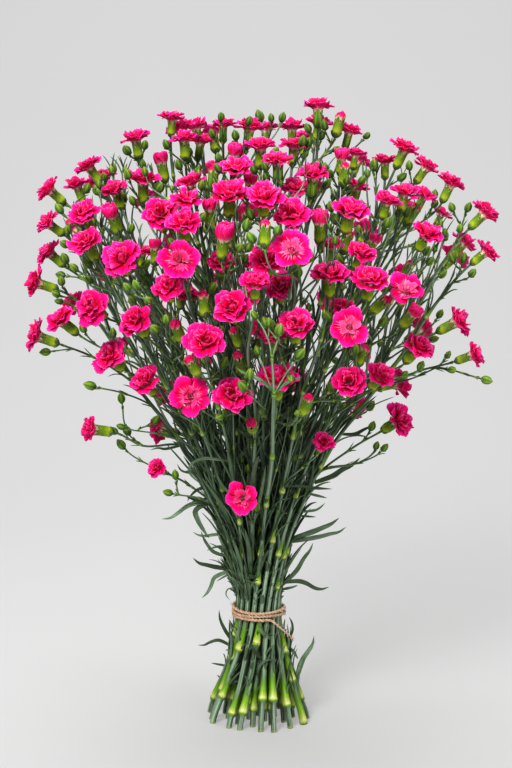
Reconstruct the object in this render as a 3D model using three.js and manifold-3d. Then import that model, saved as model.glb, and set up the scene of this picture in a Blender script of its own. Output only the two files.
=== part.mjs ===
// A bunch of pink spray carnations, hand-tied with twine and standing on its splayed, cut stem ends.
// Units are millimetres, +Z is up, the front of the bunch faces -Y and the floor is z = 0.
// Every cut stem grew as one piece, so each is one solid: jointed stem, leaves, side shoots, buds and blooms.
import * as THREE from "three";
import Module from "manifold-3d";

const wasm = await Module();
wasm.setup();

// ---- Driving dimensions ----
const WAIST_Z = 118; // height of the tie
const STEM_PITCH = 7; // between stems where the twine draws them together
const RINGS = 3; // rings of stems round the middle one: 1 + 6 + 12 + 18 = 37 stems
const WAIST_R = RINGS * STEM_PITCH; // outermost stem axes at the tie
const FOOT_R = 49; // outermost stem axes at the floor
const FLARE_RATE = 18.2; // how fast the outermost stems spread above the tie
const FLARE_POWER = 1.81;
const STRAIGHT_Z = 400; // from here up the stems run straight
const STRAIGHT_SLOPE = 0.62;
const SPIRAL = 0.55; // radians that a stem winds round the bunch on either side of the tie
const SPIRAL_Z = 90;
const STEM_R = 3.4; // low down
const STEM_TOP_R = 2; // where the uppermost bloom stalk begins
const STALK_R = 1.3; // of a bloom
const BUD_STALK_R = 1;
const BLOOM_R = 19; // a fully open bloom
const HEAD_LENGTH = 28; // from the foot of the calyx to the middle of the open petals
const SHIFT = [-1.9, -1.2]; // moves the tie's axis so that the box round the bunch is centred on the origin

// The bunch seen from the front: a sight line goes from EYE through a pixel of the front picture.
const EYE = [-3, -1800, 620];
const EYE_TILT = THREE.MathUtils.degToRad(8.36);
const EYE_FOCUS = 1765; // pixels
const PICTURE_MIDDLE = [256, 384]; // pixels

// Half-width of the flowering head against height.
const HEAD_OUTLINE = [
  [225, 52], [260, 84], [300, 122], [350, 172], [400, 215], [450, 234],
  [500, 234], [550, 206], [600, 152], [640, 78], [652, 0],
];

// Open blooms, read off the front picture. Each row: pixel across, pixel down, lean in degrees (0 is up, + is
// to the right), degrees turned to the viewer, share of a full bloom, and depth: the share of the way through
// the head from front to back.
const OPEN_BLOOMS = [
  [47, 188, -50, 12, 0.85, 0.5], [87, 164, -35, 8, 0.85, 0.5], [76, 183, -20, 8, 0.8, 0.75],
  [114, 188, -20, 25, 0.85, 0.3], [143, 177, 0, 15, 0.95, 0.2], [135, 136, -10, 8, 0.85, 0.6],
  [82, 212, -25, 40, 0.95, 0.15], [107, 173, 0, 5, 0.6, 0.85], [172, 116, 3, 4, 0.75, 0.6],
  [184, 136, -3, 8, 0.85, 0.25], [201, 139, 8, 5, 0.75, 0.4], [223, 123, 0, 5, 0.7, 0.3],
  [250, 125, 8, 5, 0.85, 0.25], [260, 144, 0, 12, 0.85, 0.1], [190, 180, -12, 12, 0.8, 0.1],
  [236, 166, 5, 30, 0.95, 0.05], [185, 197, 0, 30, 0.85, 0.06], [229, 191, 0, 38, 1, 0.05],
  [264, 194, 0, 50, 1, 0.03], [160, 212, -10, 55, 1, 0.1], [183, 221, -5, 45, 0.95, 0.02],
  [318, 104, 0, 4, 0.85, 0.55], [350, 129, 15, 5, 0.75, 0.55], [292, 125, 0, 5, 0.8, 0.65],
  [294, 143, 5, 10, 0.8, 0.2], [278, 158, 0, 14, 0.9, 0.12], [356, 152, 10, 8, 0.65, 0.5],
  [313, 172, 3, 20, 0.9, 0.1], [295, 186, -3, 35, 0.75, 0.14], [385, 159, 0, 8, 0.75, 0.6],
  [358, 185, 15, 15, 0.7, 0.35], [388, 199, 15, 20, 0.75, 0.2], [351, 208, 12, 35, 1, 0.08],
  [292, 213, 0, 50, 1, 0.05], [406, 146, 25, 8, 0.9, 0.5], [428, 165, 35, 5, 0.8, 0.45],
  [452, 181, 25, 5, 0.85, 0.5], [487, 211, 45, 5, 0.9, 0.5], [405, 190, 10, 15, 0.8, 0.15],
  [425, 193, 25, 15, 0.75, 0.35], [443, 212, 30, 0, 0.6, 0.8], [46, 222, -55, 20, 0.8, 0.4],
  [47, 251, -50, 12, 0.85, 0.6], [34, 282, -72, 10, 0.9, 0.5], [84, 240, -30, 35, 0.95, 0.15],
  [121, 258, -20, 60, 1.05, 0.08], [91, 306, -50, 58, 1, 0.15], [58, 318, -50, 25, 0.95, 0.3],
  [34, 335, -70, 15, 0.95, 0.5], [134, 320, -35, 45, 0.95, 0.12], [143, 250, 10, 20, 0.65, 0.35],
  [179, 258, 0, 75, 1.08, 0.04], [221, 261, 0, 50, 0.75, 0.16], [267, 258, 0, 58, 1, 0.08],
  [255, 280, 0, 40, 0.8, 0.05], [249, 296, 5, 45, 0.65, 0.13], [231, 306, -15, 60, 1, 0.05],
  [168, 286, -5, 55, 0.85, 0.06], [185, 291, 20, 35, 0.75, 0.16], [205, 341, 0, 68, 1.05, 0.05],
  [292, 247, 0, 70, 1.08, 0.02], [280, 285, 0, 50, 0.9, 0.18], [330, 272, 0, 35, 1, 0.12],
  [331, 243, 5, 20, 0.75, 0.25], [362, 251, 20, 40, 0.8, 0.12], [370, 277, 5, 40, 1, 0.1],
  [296, 323, 0, 45, 0.95, 0.08], [350, 326, 0, 80, 1.05, 0.05], [342, 306, 5, 35, 0.85, 0.3],
  [272, 333, -5, 40, 0.8, 0.12], [408, 287, 20, 55, 1.05, 0.12], [428, 231, 25, 40, 0.9, 0.15],
  [466, 241, 40, 0, 0.8, 0.75], [488, 250, 50, 5, 0.8, 0.45], [460, 320, 62, 8, 0.95, 0.5],
  [421, 345, 40, 30, 0.95, 0.25], [476, 354, 70, 15, 0.8, 0.5], [108, 355, -45, 45, 1, 0.25],
  [144, 379, -30, 45, 0.9, 0.15], [190, 395, 0, 75, 1.1, 0.05], [232, 394, 0, 65, 1.05, 0.05],
  [277, 377, 0, 35, 1.1, 0.14], [349, 380, -5, 58, 1, 0.08], [382, 374, 35, 40, 0.85, 0.2],
  [401, 419, 55, 40, 1, 0.4], [324, 441, 20, 50, 0.65, 0.12], [156, 468, -60, 50, 0.6, 0.45],
  [242, 497, 0, 75, 0.95, -0.1], [241, 262, 10, 25, 0.6, 0.3],
];
// Half-open blooms: pixel across, pixel down, lean, turn to the viewer, size, depth.
const CUPS = [
  [110, 210, -20, 30, 1, 0.2], [160, 157, -12, 2, 1, 0.6], [236, 149, 0, 15, 0.95, 0.2],
  [251, 178, 10, 20, 0.8, 0.15], [210, 204, 0, 8, 0.9, 0.12], [342, 153, 5, 20, 0.85, 0.35],
  [320, 216, 0, 15, 1.1, 0.14], [155, 243, 0, 5, 0.8, 0.2], [224, 232, 5, 25, 1.2, 0.05],
  [376, 237, 25, 15, 0.8, 0.25], [416, 310, 40, 15, 0.9, 0.3], [88, 429, -82, 22, 1.15, 0.5],
];
// Buds that show a pink tip: pixel across, pixel down, lean, turn to the viewer, size, depth.
const TIPS = [
  [341, 115, 15, 5, 1.1, 0.6], [345, 164, 5, 10, 1, 0.25], [265, 222, 0, 8, 1, -0.03],
  [214, 168, 5, 5, 1.1, 0.3], [203, 293, -5, 12, 1.05, 0.1], [175, 323, -20, 35, 1.15, 0.12],
  [233, 329, -20, 25, 0.9, 0.15], [188, 358, -30, 30, 1, 0.12], [238, 354, -10, 30, 1.15, 0.14],
  [251, 422, -10, 65, 1.1, 0.08], [388, 299, 50, 15, 1.05, 0.2], [309, 396, 18, 25, 1, 0.08],
  [366, 347, 25, 5, 0.9, 0.25], [350, 232, 20, 5, 1, 0.3], [418, 206, 35, 10, 1, 0.3],
  [412, 262, 30, 10, 0.9, 0.4],
];
// Green buds that stand clear of the rest, on shoots of their own: the same columns.
const LONE_BUDS = [
  [88, 385, -75, 5, 1.1, 0.5], [119, 426, -70, 5, 0.8, 0.45], [166, 492, -75, 5, 0.9, 0.4],
  [386, 446, 40, 5, 0.8, 0.5], [377, 444, 20, 5, 0.8, 0.6], [441, 312, 30, 5, 0.85, 0.55],
  [449, 353, 30, 5, 0.7, 0.4], [113, 166, 0, 5, 1, 0.65], [374, 163, 0, 5, 1.1, 0.55],
  [259, 114, -20, 5, 1.1, 0.5], [271, 116, -5, 5, 0.8, 0.6], [283, 115, 15, 5, 0.9, 0.45],
  [280, 328, 15, 30, 1.1, 0.02], [302, 352, 40, 20, 1.05, 0.02], [242, 385, -40, 30, 1.15, 0.0],
  [469, 205, 20, 5, 0.9, 0.6], [422, 364, 30, 5, 0.9, 0.3], [57, 301, -80, 5, 0.75, 0.55],
];
// Leaves on the stems: root pixel, tip pixel, how far the blade arches up (mm), width (mm).
const LEAVES = [
  [200, 508, 162, 519, 14, 5], [196, 507, 209, 537, 3, 4.5], [222, 534, 194, 533, 4, 5],
  [222, 560, 201, 531, 0, 5], [222, 571, 193, 558, 3, 5], [224, 572, 202, 598, 6, 5],
  [225, 640, 217, 611, 0, 5], [225, 643, 198, 645, 10, 6], [298, 545, 339, 518, 3, 5.5],
  [305, 545, 346, 527, 3, 4.5], [325, 480, 358, 460, 2, 5], [292, 583, 329, 588, 10, 5],
  [299, 676, 314, 637, -4, 7], [291, 617, 296, 640, 3, 5], [165, 448, 142, 447, 2, 4],
  [190, 445, 157, 430, 2, 4.5], [412, 388, 430, 388, 2, 4], [271, 500, 256, 478, 2, 4.5],
  [277, 541, 289, 512, 2, 4.5], [271, 460, 283, 436, 2, 4.5], [238, 450, 222, 432, 2, 4.5],
  [355, 430, 372, 412, 2, 4],
];
const BACK_LEAVES = 10;
const TWINE_R = 2.3;
const TWINE_TURNS = 3;
const TWINE_STEPS = 16; // corners in a turn
const TWINE_RISE = 5.2; // from one turn to the next
const TWINE_END_TURN = -62; // degrees round from +X where the loose end leaves, on the front
const BACK_BLOOMS = 30; // on the half of the head that the front picture doesn't show
const CROWN_BLOOMS = 6; // of those on top, behind the middle
const BACK_SEED = 41;
const MOST_HEADS = 6; // that a spray carries, a bud counting as less than one
const FEWEST_HEADS = 3;
const INNER_STEMS = 19; // the stems inside the outermost ring
const SHORT_STALK = 45; // a stalk up to this long is straight
const FINE_SIZE = 0.88; // front blooms from this size up have split petal edges
const GREEN_AND_PINK = 0xb45a78;
const JUTE = 0xbd966e;
const SIDE_BUD_SHARE = 0.15; // of the stalks that have a green side bud, where there is room

// ---- Small tools ----
const vec = (x, y, z) => new THREE.Vector3(x, y, z);
const lerp = THREE.MathUtils.lerp;
const clamp = THREE.MathUtils.clamp;
const radians = THREE.MathUtils.degToRad;

// A repeatable stream of numbers from 0 to 1.
function randomStream(seed) {
  let state = seed * 7919 + 17;
  return () => {
    state = (state * 48271) % 2147483647;
    return state / 2147483647;
  };
}

// ---- The lie of the stems: every stem is one place in the tie's cross-section, carried up and down ----
function flare(z) {
  if (z < WAIST_Z) {
    const below = (WAIST_Z - z) / WAIST_Z;
    return Math.hypot(WAIST_R, below * Math.sqrt(FOOT_R ** 2 - WAIST_R ** 2));
  }
  const curved = (h) => WAIST_R + FLARE_RATE * ((h - WAIST_Z) / 100) ** FLARE_POWER;
  return z < STRAIGHT_Z ? curved(z) : curved(STRAIGHT_Z) + STRAIGHT_SLOPE * (z - STRAIGHT_Z);
}
const spiral = (z) => SPIRAL * Math.tanh((z - WAIST_Z) / SPIRAL_Z);

// The point at height z of the stem whose place in the section is (a, b), where 1 is the outermost ring.
function stemPoint(a, b, z) {
  const r = flare(z);
  const turn = spiral(z);
  return vec(
    r * (a * Math.cos(turn) - b * Math.sin(turn)),
    r * (a * Math.sin(turn) + b * Math.cos(turn)),
    z,
  );
}

// The place in the section whose stem would pass through a point.
function sectionPlace(p) {
  const turn = -spiral(p.z);
  const r = flare(p.z);
  return [
    (p.x * Math.cos(turn) - p.y * Math.sin(turn)) / r,
    (p.x * Math.sin(turn) + p.y * Math.cos(turn)) / r,
  ];
}

// ---- Heads: where each bloom and bud sits and which way it looks ----
function headRadius(z) {
  const above = HEAD_OUTLINE.findIndex((row) => row[0] > z);
  if (above < 1) return 0;
  const [z0, r0] = HEAD_OUTLINE[above - 1];
  const [z1, r1] = HEAD_OUTLINE[above];
  return lerp(r0, r1, (z - z0) / (z1 - z0));
}

function sightLine(u, v) {
  const across = (u - PICTURE_MIDDLE[0]) / EYE_FOCUS;
  const up = (PICTURE_MIDDLE[1] - v) / EYE_FOCUS;
  const c = Math.cos(EYE_TILT);
  const s = Math.sin(EYE_TILT);
  return vec(across, c + up * s, -s + up * c);
}
function pixelOf(p) {
  const d = p.clone().sub(vec(...EYE));
  const c = Math.cos(EYE_TILT);
  const s = Math.sin(EYE_TILT);
  const far = d.y * c - d.z * s;
  const up = d.y * s + d.z * c;
  return [PICTURE_MIDDLE[0] + (EYE_FOCUS * d.x) / far, PICTURE_MIDDLE[1] - (EYE_FOCUS * up) / far];
}
const onSight = (line, reach) => vec(...EYE).addScaledVector(line, reach);

// Where a sight line goes into the head and where it comes out; the same place twice if it only passes by.
function throughHead(line) {
  let first = null;
  let last = null;
  let nearest = [Infinity, 0];
  for (let reach = 1480; reach <= 2080; reach += 5) {
    const p = onSight(line, reach);
    const gap = Math.hypot(p.x, p.y) - headRadius(p.z);
    if (gap < 0) {
      first ??= reach;
      last = reach;
    }
    if (gap < nearest[0]) nearest = [gap, reach];
  }
  return first === null ? [nearest[1], nearest[1]] : [first, last];
}

// The way a head looks, from its lean in the picture and its turn to the viewer.
function facing(lean, turn) {
  const side = Math.cos(radians(turn));
  const across = side * Math.sin(radians(lean));
  const up = side * Math.cos(radians(lean));
  const near = Math.sin(radians(turn));
  const c = Math.cos(EYE_TILT);
  const s = Math.sin(EYE_TILT);
  return vec(across, up * s - near * c, up * c + near * s).normalize();
}

function readHeads(rows, kind) {
  return rows.map(([u, v, lean, turn, size, depth]) => {
    const line = sightLine(u, v);
    const [near, far] = throughHead(line);
    return { kind, size, line, reach: lerp(near, far, depth), axis: facing(lean, turn) };
  });
}

// Blooms on the back of the head, spread evenly over its skin, and behind the middle of its top.
function backHeads() {
  const random = randomStream(BACK_SEED);
  const made = [];
  for (let k = 0; k < BACK_BLOOMS + CROWN_BLOOMS; k++) {
    const crown = k >= BACK_BLOOMS;
    const round = radians(lerp(14, 166, (k * 0.618034 + 0.31) % 1));
    const r = crown ? lerp(50, 140, random()) : 0;
    const height = crown ? 634 - (r * r) / 480 : lerp(285, 588, (k + 0.5) / BACK_BLOOMS);
    const out = crown ? r : headRadius(height) * lerp(0.9, 1, random());
    const place = vec(out * Math.cos(round), out * Math.sin(round), height);
    const focus = vec(0, 0, lerp(250, 340, random()));
    const axis = place.clone().sub(focus).normalize();
    const line = place.clone().sub(vec(...EYE));
    const reach = line.y;
    line.divideScalar(reach);
    made.push({ kind: "open", size: lerp(0.75, 1.02, random()), line, reach, axis });
  }
  return made;
}

const petalRadius = { open: BLOOM_R, cup: 10, tip: 5.5, bud: 5 };
const headLength = { open: HEAD_LENGTH, cup: 27, tip: 23, bud: 8 };

// Two balls that stand for a head: its petals, and its calyx behind them.
function balls(head) {
  const middle = onSight(head.line, head.reach);
  const petals = { at: middle, r: petalRadius[head.kind] * head.size * 0.93 };
  const calyx = { at: middle.clone().addScaledVector(head.axis, -0.62 * headLength[head.kind]), r: 7 };
  return head.kind === "bud" ? [petals] : [petals, calyx];
}

// Slides heads along their sight lines, so that no two share a place and the picture stays as it is.
function spaceOut(heads) {
  for (let pass = 0; pass < 60; pass++) {
    const held = heads.map(balls);
    const push = heads.map(() => 0);
    for (let i = 0; i < heads.length; i++)
      for (let j = i + 1; j < heads.length; j++) {
        let lack = 0;
        for (const a of held[i])
          for (const b of held[j]) {
            const apart = b.at.clone().sub(a.at);
            const need = a.r + b.r;
            const along = apart.dot(heads[i].line);
            const aside = Math.sqrt(Math.max(0, apart.lengthSq() - along * along));
            if (apart.length() >= need || aside >= need) continue;
            lack = Math.max(lack, Math.sqrt(need * need - aside * aside) - Math.abs(along));
          }
        if (lack <= 0) continue;
        const sign = heads[i].reach <= heads[j].reach ? -1 : 1;
        push[i] += (sign * Math.min(lack, 12)) / 4;
        push[j] -= (sign * Math.min(lack, 12)) / 4;
      }
    heads.forEach((head, i) => (head.reach += clamp(push[i], -5, 5)));
  }
}

const heads = [
  ...readHeads(OPEN_BLOOMS, "open"),
  ...readHeads(CUPS, "cup"),
  ...readHeads(TIPS, "tip"),
  ...readHeads(LONE_BUDS, "bud"),
  ...backHeads(),
];
spaceOut(heads);
heads.forEach((head) => {
  head.middle = onSight(head.line, head.reach);
  head.foot = head.middle.clone().addScaledVector(head.axis, -headLength[head.kind] * Math.min(1, head.size));
});

// ---- Which stem carries which head: nearest in the section, with the load shared out ----
function stemSites() {
  const sites = [[0, 0]];
  for (let ring = 1; ring <= RINGS; ring++)
    for (let k = 0; k < 6 * ring; k++) {
      const angle = (2 * Math.PI * (k + 0.25 * ring)) / (6 * ring);
      sites.push([(ring / RINGS) * Math.cos(angle), (ring / RINGS) * Math.sin(angle)]);
    }
  return sites;
}

function shareOut(sites) {
  const cost = sites.map(() => 0);
  heads.forEach((head) => (head.place = sectionPlace(head.foot)));
  for (let pass = 0; pass < 400; pass++) {
    const load = sites.map(() => 0);
    heads.forEach((head) => {
      const [a, b] = head.place;
      const price = sites.map(([x, y], s) => (a - x) ** 2 + (b - y) ** 2 + cost[s]);
      head.spray = price.indexOf(Math.min(...price));
      load[head.spray] += head.kind === "open" ? 1 : 0.6;
    });
    load.forEach((n, s) => {
      cost[s] += 0.006 * (Math.max(0, n - MOST_HEADS) - Math.max(0, FEWEST_HEADS - n));
    });
  }
}

// ---- Paths ----
// How far a stem has moved over, at height z, from its place in the tie to the place of its top bloom.
const moveOver = (z) => THREE.MathUtils.smoothstep(z, 130, 400);

function trunkPath(site, top, node, drop) {
  const end = clamp(top.foot.z - drop, 185, 440);
  const heights = [0, node, 97, WAIST_Z, 139, 200, 290].filter((z) => z > -1 && z < end - 25);
  heights.push(end);
  return heights.map((z) => {
    const t = moveOver(z);
    const p = stemPoint(lerp(site[0], top.place[0], t), lerp(site[1], top.place[1], t), z);
    p.r = lerp(STEM_R, STEM_TOP_R, clamp((z - 120) / 260, 0, 1)) * (z === node ? 1.3 : 1);
    return p;
  });
}

function bezier(p0, p1, p2, p3, t) {
  const s = 1 - t;
  const at = p0.clone().multiplyScalar(s * s * s);
  at.addScaledVector(p1, 3 * s * s * t).addScaledVector(p2, 3 * s * t * t);
  return at.addScaledVector(p3, t * t * t);
}

// Anything of a spray that another piece must stay clear of: a rod from p to q.
const rods = [];

function rodGap(point, rod) {
  const along = rod.q.clone().sub(rod.p);
  const t = clamp(point.clone().sub(rod.p).dot(along) / along.lengthSq(), 0, 1);
  return along.multiplyScalar(t).add(rod.p).distanceTo(point) - rod.r;
}

// Clear distance from a point to the petals and calyx of a head.
function headGap(point, head) {
  const from = point.clone().sub(head.foot);
  const h = from.dot(head.axis);
  const out = Math.sqrt(Math.max(0, from.lengthSq() - h * h));
  const length = head.middle.distanceTo(head.foot);
  const petals = Math.hypot(Math.max(0, Math.abs(h - length) - 7), Math.max(0, out - head.wide));
  const calyx = Math.hypot(Math.max(0, Math.abs(h - length / 2) - length / 2), Math.max(0, out - 6));
  return Math.min(petals, calyx);
}

function clearance(points, r, spray, own) {
  let least = 12;
  for (const point of points) {
    for (const head of heads) if (head !== own) least = Math.min(least, headGap(point, head) - r);
    for (const rod of rods) if (rod.spray !== spray) least = Math.min(least, rodGap(point, rod) - r);
  }
  return least;
}

// A stalk's route: its root, a bend unless it is short, and the foot of its head.
function stalkRoute(root, way, head, side) {
  const reach = root.distanceTo(head.foot);
  if (reach < SHORT_STALK && side.lengthSq() === 0) return [root, head.foot];
  const p1 = root.clone().addScaledVector(way, reach * 0.4).add(side);
  const p2 = head.foot.clone().addScaledVector(head.axis, -reach * 0.36).add(side);
  return [root, bezier(root, p1, p2, head.foot, 0.55), head.foot];
}

// Points along a route, leaving out its first few millimetres inside the parent.
function along(route) {
  const points = [];
  for (let i = 1; i < route.length; i++) {
    const steps = Math.ceil(route[i].distanceTo(route[i - 1]) / 8);
    for (let k = 1; k <= steps; k++) points.push(route[i - 1].clone().lerp(route[i], k / steps));
  }
  return points;
}

// The stalk from a point on its parent to a head, bent whichever way keeps it clearest.
function bestStalk(root, way, head, r, spray) {
  const toHead = head.foot.clone().sub(root).normalize();
  const start = way.clone().addScaledVector(toHead, 0.8).normalize();
  const aside = toHead.clone().cross(head.axis);
  if (aside.lengthSq() < 1e-4) aside.set(1, 0, 0);
  aside.normalize();
  const outward = aside.clone().cross(toHead);
  let best = null;
  for (const [x, y] of [[0, 0], [9, 0], [-9, 0], [0, 9], [0, -9], [18, 0], [-18, 0], [0, 18], [0, -18]]) {
    const side = aside.clone().multiplyScalar(x).addScaledVector(outward, y);
    const route = stalkRoute(root, start, head, side);
    const gap = clearance(along(route), r, spray, head);
    const score = Math.max(0, 2 - gap) * 40 + Math.hypot(x, y) * 0.5;
    if (!best || score < best.score) best = { score, gap, route };
  }
  return best;
}

function addRods(points, r, spray) {
  for (let i = 1; i < points.length; i++) rods.push({ p: points[i - 1], q: points[i], r, spray });
}

// ---- Growing the sprays ----
const sites = stemSites();
shareOut(sites);
heads.forEach((head) => (head.wide = petalRadius[head.kind] * head.size));
const growth = randomStream(7);
const sprays = sites.map((site, s) => {
  const own = heads.filter((head) => head.spray === s);
  own.sort((g, h) => h.foot.z - g.foot.z);
  const top = own.find((head) => head.kind === "open") ?? own[0];
  // The top stalk leaves the stem at whichever height gives it the clearest way.
  const node = s < INNER_STEMS ? -1 : lerp(18, 62, growth());
  let best = null;
  for (const drop of [100, 120, 80, 140, 160, 60]) {
    const trunk = trunkPath(site, top, node, drop);
    const end = trunk.at(-1);
    const way = end.clone().sub(trunk.at(-2)).normalize();
    const stalk = bestStalk(end, way, top, STEM_TOP_R, s);
    const gap = Math.min(stalk.gap, clearance(along(trunk.slice(-2)), STEM_TOP_R, s, top));
    const score = stalk.score + Math.max(0, 2 - gap) * 40;
    if (!best || score < best.score - 1) best = { score, gap, trunk, stalk };
  }
  top.gap = best.gap;
  addRods(best.trunk, STEM_TOP_R + 0.6, s);
  addRods(best.stalk.route, STEM_TOP_R, s);
  const stalks = [{ head: top, route: best.stalk.route, r: STALK_R }];
  return { s, top, trunk: best.trunk, others: own.filter((head) => head !== top), stalks };
});

// Places on a spray where a stalk can leave: along its stem above the tie and along its longer stalks.
function budding(spray) {
  const spots = [];
  const trunk = spray.trunk;
  for (let i = 1 + trunk.findIndex((p) => p.z > WAIST_Z + 10); i < trunk.length; i++) {
    const way = trunk[i].clone().sub(trunk[i - 1]).normalize();
    for (const t of [0.3, 0.65, 1])
      spots.push({ root: trunk[i - 1].clone().lerp(trunk[i], t), way, cost: 0 });
  }
  for (const stalk of spray.stalks)
    if (stalk.head.kind !== "bud")
      for (let i = 1; i < stalk.route.length; i++) {
        const way = stalk.route[i].clone().sub(stalk.route[i - 1]).normalize();
        for (const t of [0.2, 0.5, 0.8])
          spots.push({ root: stalk.route[i - 1].clone().lerp(stalk.route[i], t), way, cost: 4 });
      }
  return spots;
}

// The likeliest places on a spray for a head's stalk to leave, best first.
function likelySpots(spray, head) {
  const score = (spot) => {
    const toHead = head.foot.clone().sub(spot.root);
    const reach = toHead.length();
    const turn = toHead.angleTo(spot.way) + 0.5 * toHead.angleTo(head.axis);
    return reach + 60 * turn * turn + (reach < 32 ? (32 - reach) * 6 : 0) + spot.cost;
  };
  const spots = budding(spray);
  spots.forEach((spot) => (spot.score = score(spot)));
  return spots.sort((a, b) => a.score - b.score).slice(0, 4);
}

function hangOn(spray, head) {
  const away = (other) => Math.hypot(head.place[0] - other.top.place[0], head.place[1] - other.top.place[1]);
  const near = sprays.filter((other) => other !== spray).sort((p, q) => away(p) - away(q));
  const r = head.kind === "bud" ? BUD_STALK_R : STALK_R;
  let chosen = null;
  for (const [rank, other] of [spray, ...near.slice(0, 4)].entries()) {
    for (const spot of likelySpots(other, head)) {
      const best = bestStalk(spot.root, spot.way, head, r, other.s);
      const score = best.score + 0.3 * spot.score + 15 * rank;
      if (!chosen || score < chosen.score) chosen = { score, best, spray: other };
    }
    if (chosen.best.gap > 1) break;
  }
  head.gap = chosen.best.gap;
  chosen.spray.stalks.push({ head, route: chosen.best.route, r });
  addRods(chosen.best.route, r, chosen.spray.s);
}

for (let round = 0; round < 12; round++)
  for (const spray of sprays) if (spray.others[round]) hangOn(spray, spray.others[round]);

// Small green side buds: each leans out from a bloom's stalk where there is room.
const budRandom = randomStream(23);
for (const spray of sprays)
  for (const stalk of [...spray.stalks]) {
    if (stalk.head.kind === "bud" || budRandom() > SIDE_BUD_SHARE) continue;
    const [before, foot] = stalk.route.slice(-2);
    const way = foot.clone().sub(before).normalize();
    const root = foot.clone().addScaledVector(way, -Math.min(24, 0.8 * foot.distanceTo(before)));
    const start = budRandom() * 2 * Math.PI;
    let best = null;
    for (let k = 0; k < 8; k++)
      for (const reach of [30, 40, 50]) {
        const angle = start + (k * Math.PI) / 4;
        const out = vec(Math.cos(angle), Math.sin(angle), 0);
        out.addScaledVector(way, -out.dot(way)).normalize();
        const axis = way.clone().addScaledVector(out, 0.55).normalize();
        const end = root.clone().addScaledVector(axis, reach).addScaledVector(way, 3);
        const head = { kind: "bud", size: lerp(0.8, 1.05, budRandom()), axis, foot: end, wide: 5 };
        head.middle = end.clone().addScaledVector(axis, headLength.bud);
        const tip = end.clone().addScaledVector(axis, 16);
        const route = [root, end];
        const gap = Math.min(
          clearance([end, head.middle], 5, -1, head),
          clearance([tip], 2, -1, head),
          clearance(along(route).slice(1), BUD_STALK_R, spray.s, stalk.head),
        );
        const score = gap - 0.05 * reach - Math.max(0, tip.y) * 0.01;
        if (gap > 1 && (!best || score > best.score)) best = { score, head, route };
      }
    if (!best) continue;
    heads.push(best.head);
    spray.stalks.push({ head: best.head, route: best.route, r: BUD_STALK_R });
    addRods(best.route, BUD_STALK_R, spray.s);
  }

// ---- Skins: rings of points stretched over with triangles and closed at both ends ----
function skin(rings) {
  const points = rings.flat();
  const triangles = [];
  const starts = [];
  let count = 0;
  for (const ring of rings) {
    starts.push(count);
    count += ring.length;
  }
  const cap = (start, n, flip) => {
    for (let k = 1; k < n - 1; k++)
      triangles.push(flip ? [start, start + k + 1, start + k] : [start, start + k, start + k + 1]);
  };
  cap(0, rings[0].length, true);
  for (let i = 1; i < rings.length; i++) {
    const n = rings[i - 1].length;
    const m = rings[i].length;
    const low = (k) => starts[i - 1] + (k % n);
    const high = (k) => starts[i] + (k % m);
    let a = 0;
    let b = 0;
    while ((n > 1 && a < n) || (m > 1 && b < m)) {
      const stepLow = m === 1 || (n > 1 && a < n && (b >= m || (a + 1) / n < (b + 1) / m + 1e-9));
      if (stepLow) triangles.push([low(a), low(a + 1), high(b)]);
      else triangles.push([low(a), high(b + 1), high(b)]);
      if (stepLow) a += 1;
      else b += 1;
    }
  }
  cap(starts.at(-1), rings.at(-1).length, false);
  return solid(points, triangles);
}

function solid(points, triangles) {
  let volume = 0;
  for (const [i, j, k] of triangles) volume += points[i].dot(points[j].clone().cross(points[k]));
  const facing = volume > 0 ? triangles : triangles.map(([i, j, k]) => [i, k, j]);
  const vertProperties = new Float32Array(points.flatMap((p) => [p.x, p.y, p.z]));
  const triVerts = new Uint32Array(facing.flat());
  return new wasm.Manifold(new wasm.Mesh({ numProp: 3, vertProperties, triVerts }));
}

// A frame across a direction, turned as little as can be from the one before.
function across(way, before) {
  const x = before.clone().addScaledVector(way, -before.dot(way));
  if (x.lengthSq() < 1e-6) x.set(0, 1, 0).addScaledVector(way, -way.y);
  x.normalize();
  return [x, way.clone().cross(x)];
}

function ring(centre, x, y, r, n, turn = 0) {
  return Array.from({ length: n }, (_, k) => {
    const angle = turn + (2 * Math.PI * k) / n;
    const at = centre.clone().addScaledVector(x, r * Math.cos(angle));
    return at.addScaledVector(y, r * Math.sin(angle));
  });
}

// Rings along a path, and the last frame, so that a head can follow on.
function sweepRings(path, radii, sides, firstWay, corner = vec(0, -1, 0.01)) {
  let x = corner;
  let y = null;
  const rings = path.map((p, i) => {
    const before = path[Math.max(0, i - 1)];
    const after = path[Math.min(path.length - 1, i + 1)];
    const way = i === 0 && firstWay ? firstWay : after.clone().sub(before).normalize();
    [x, y] = across(way, x);
    return ring(p, x, y, radii[i], sides);
  });
  return { rings, x };
}

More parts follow.
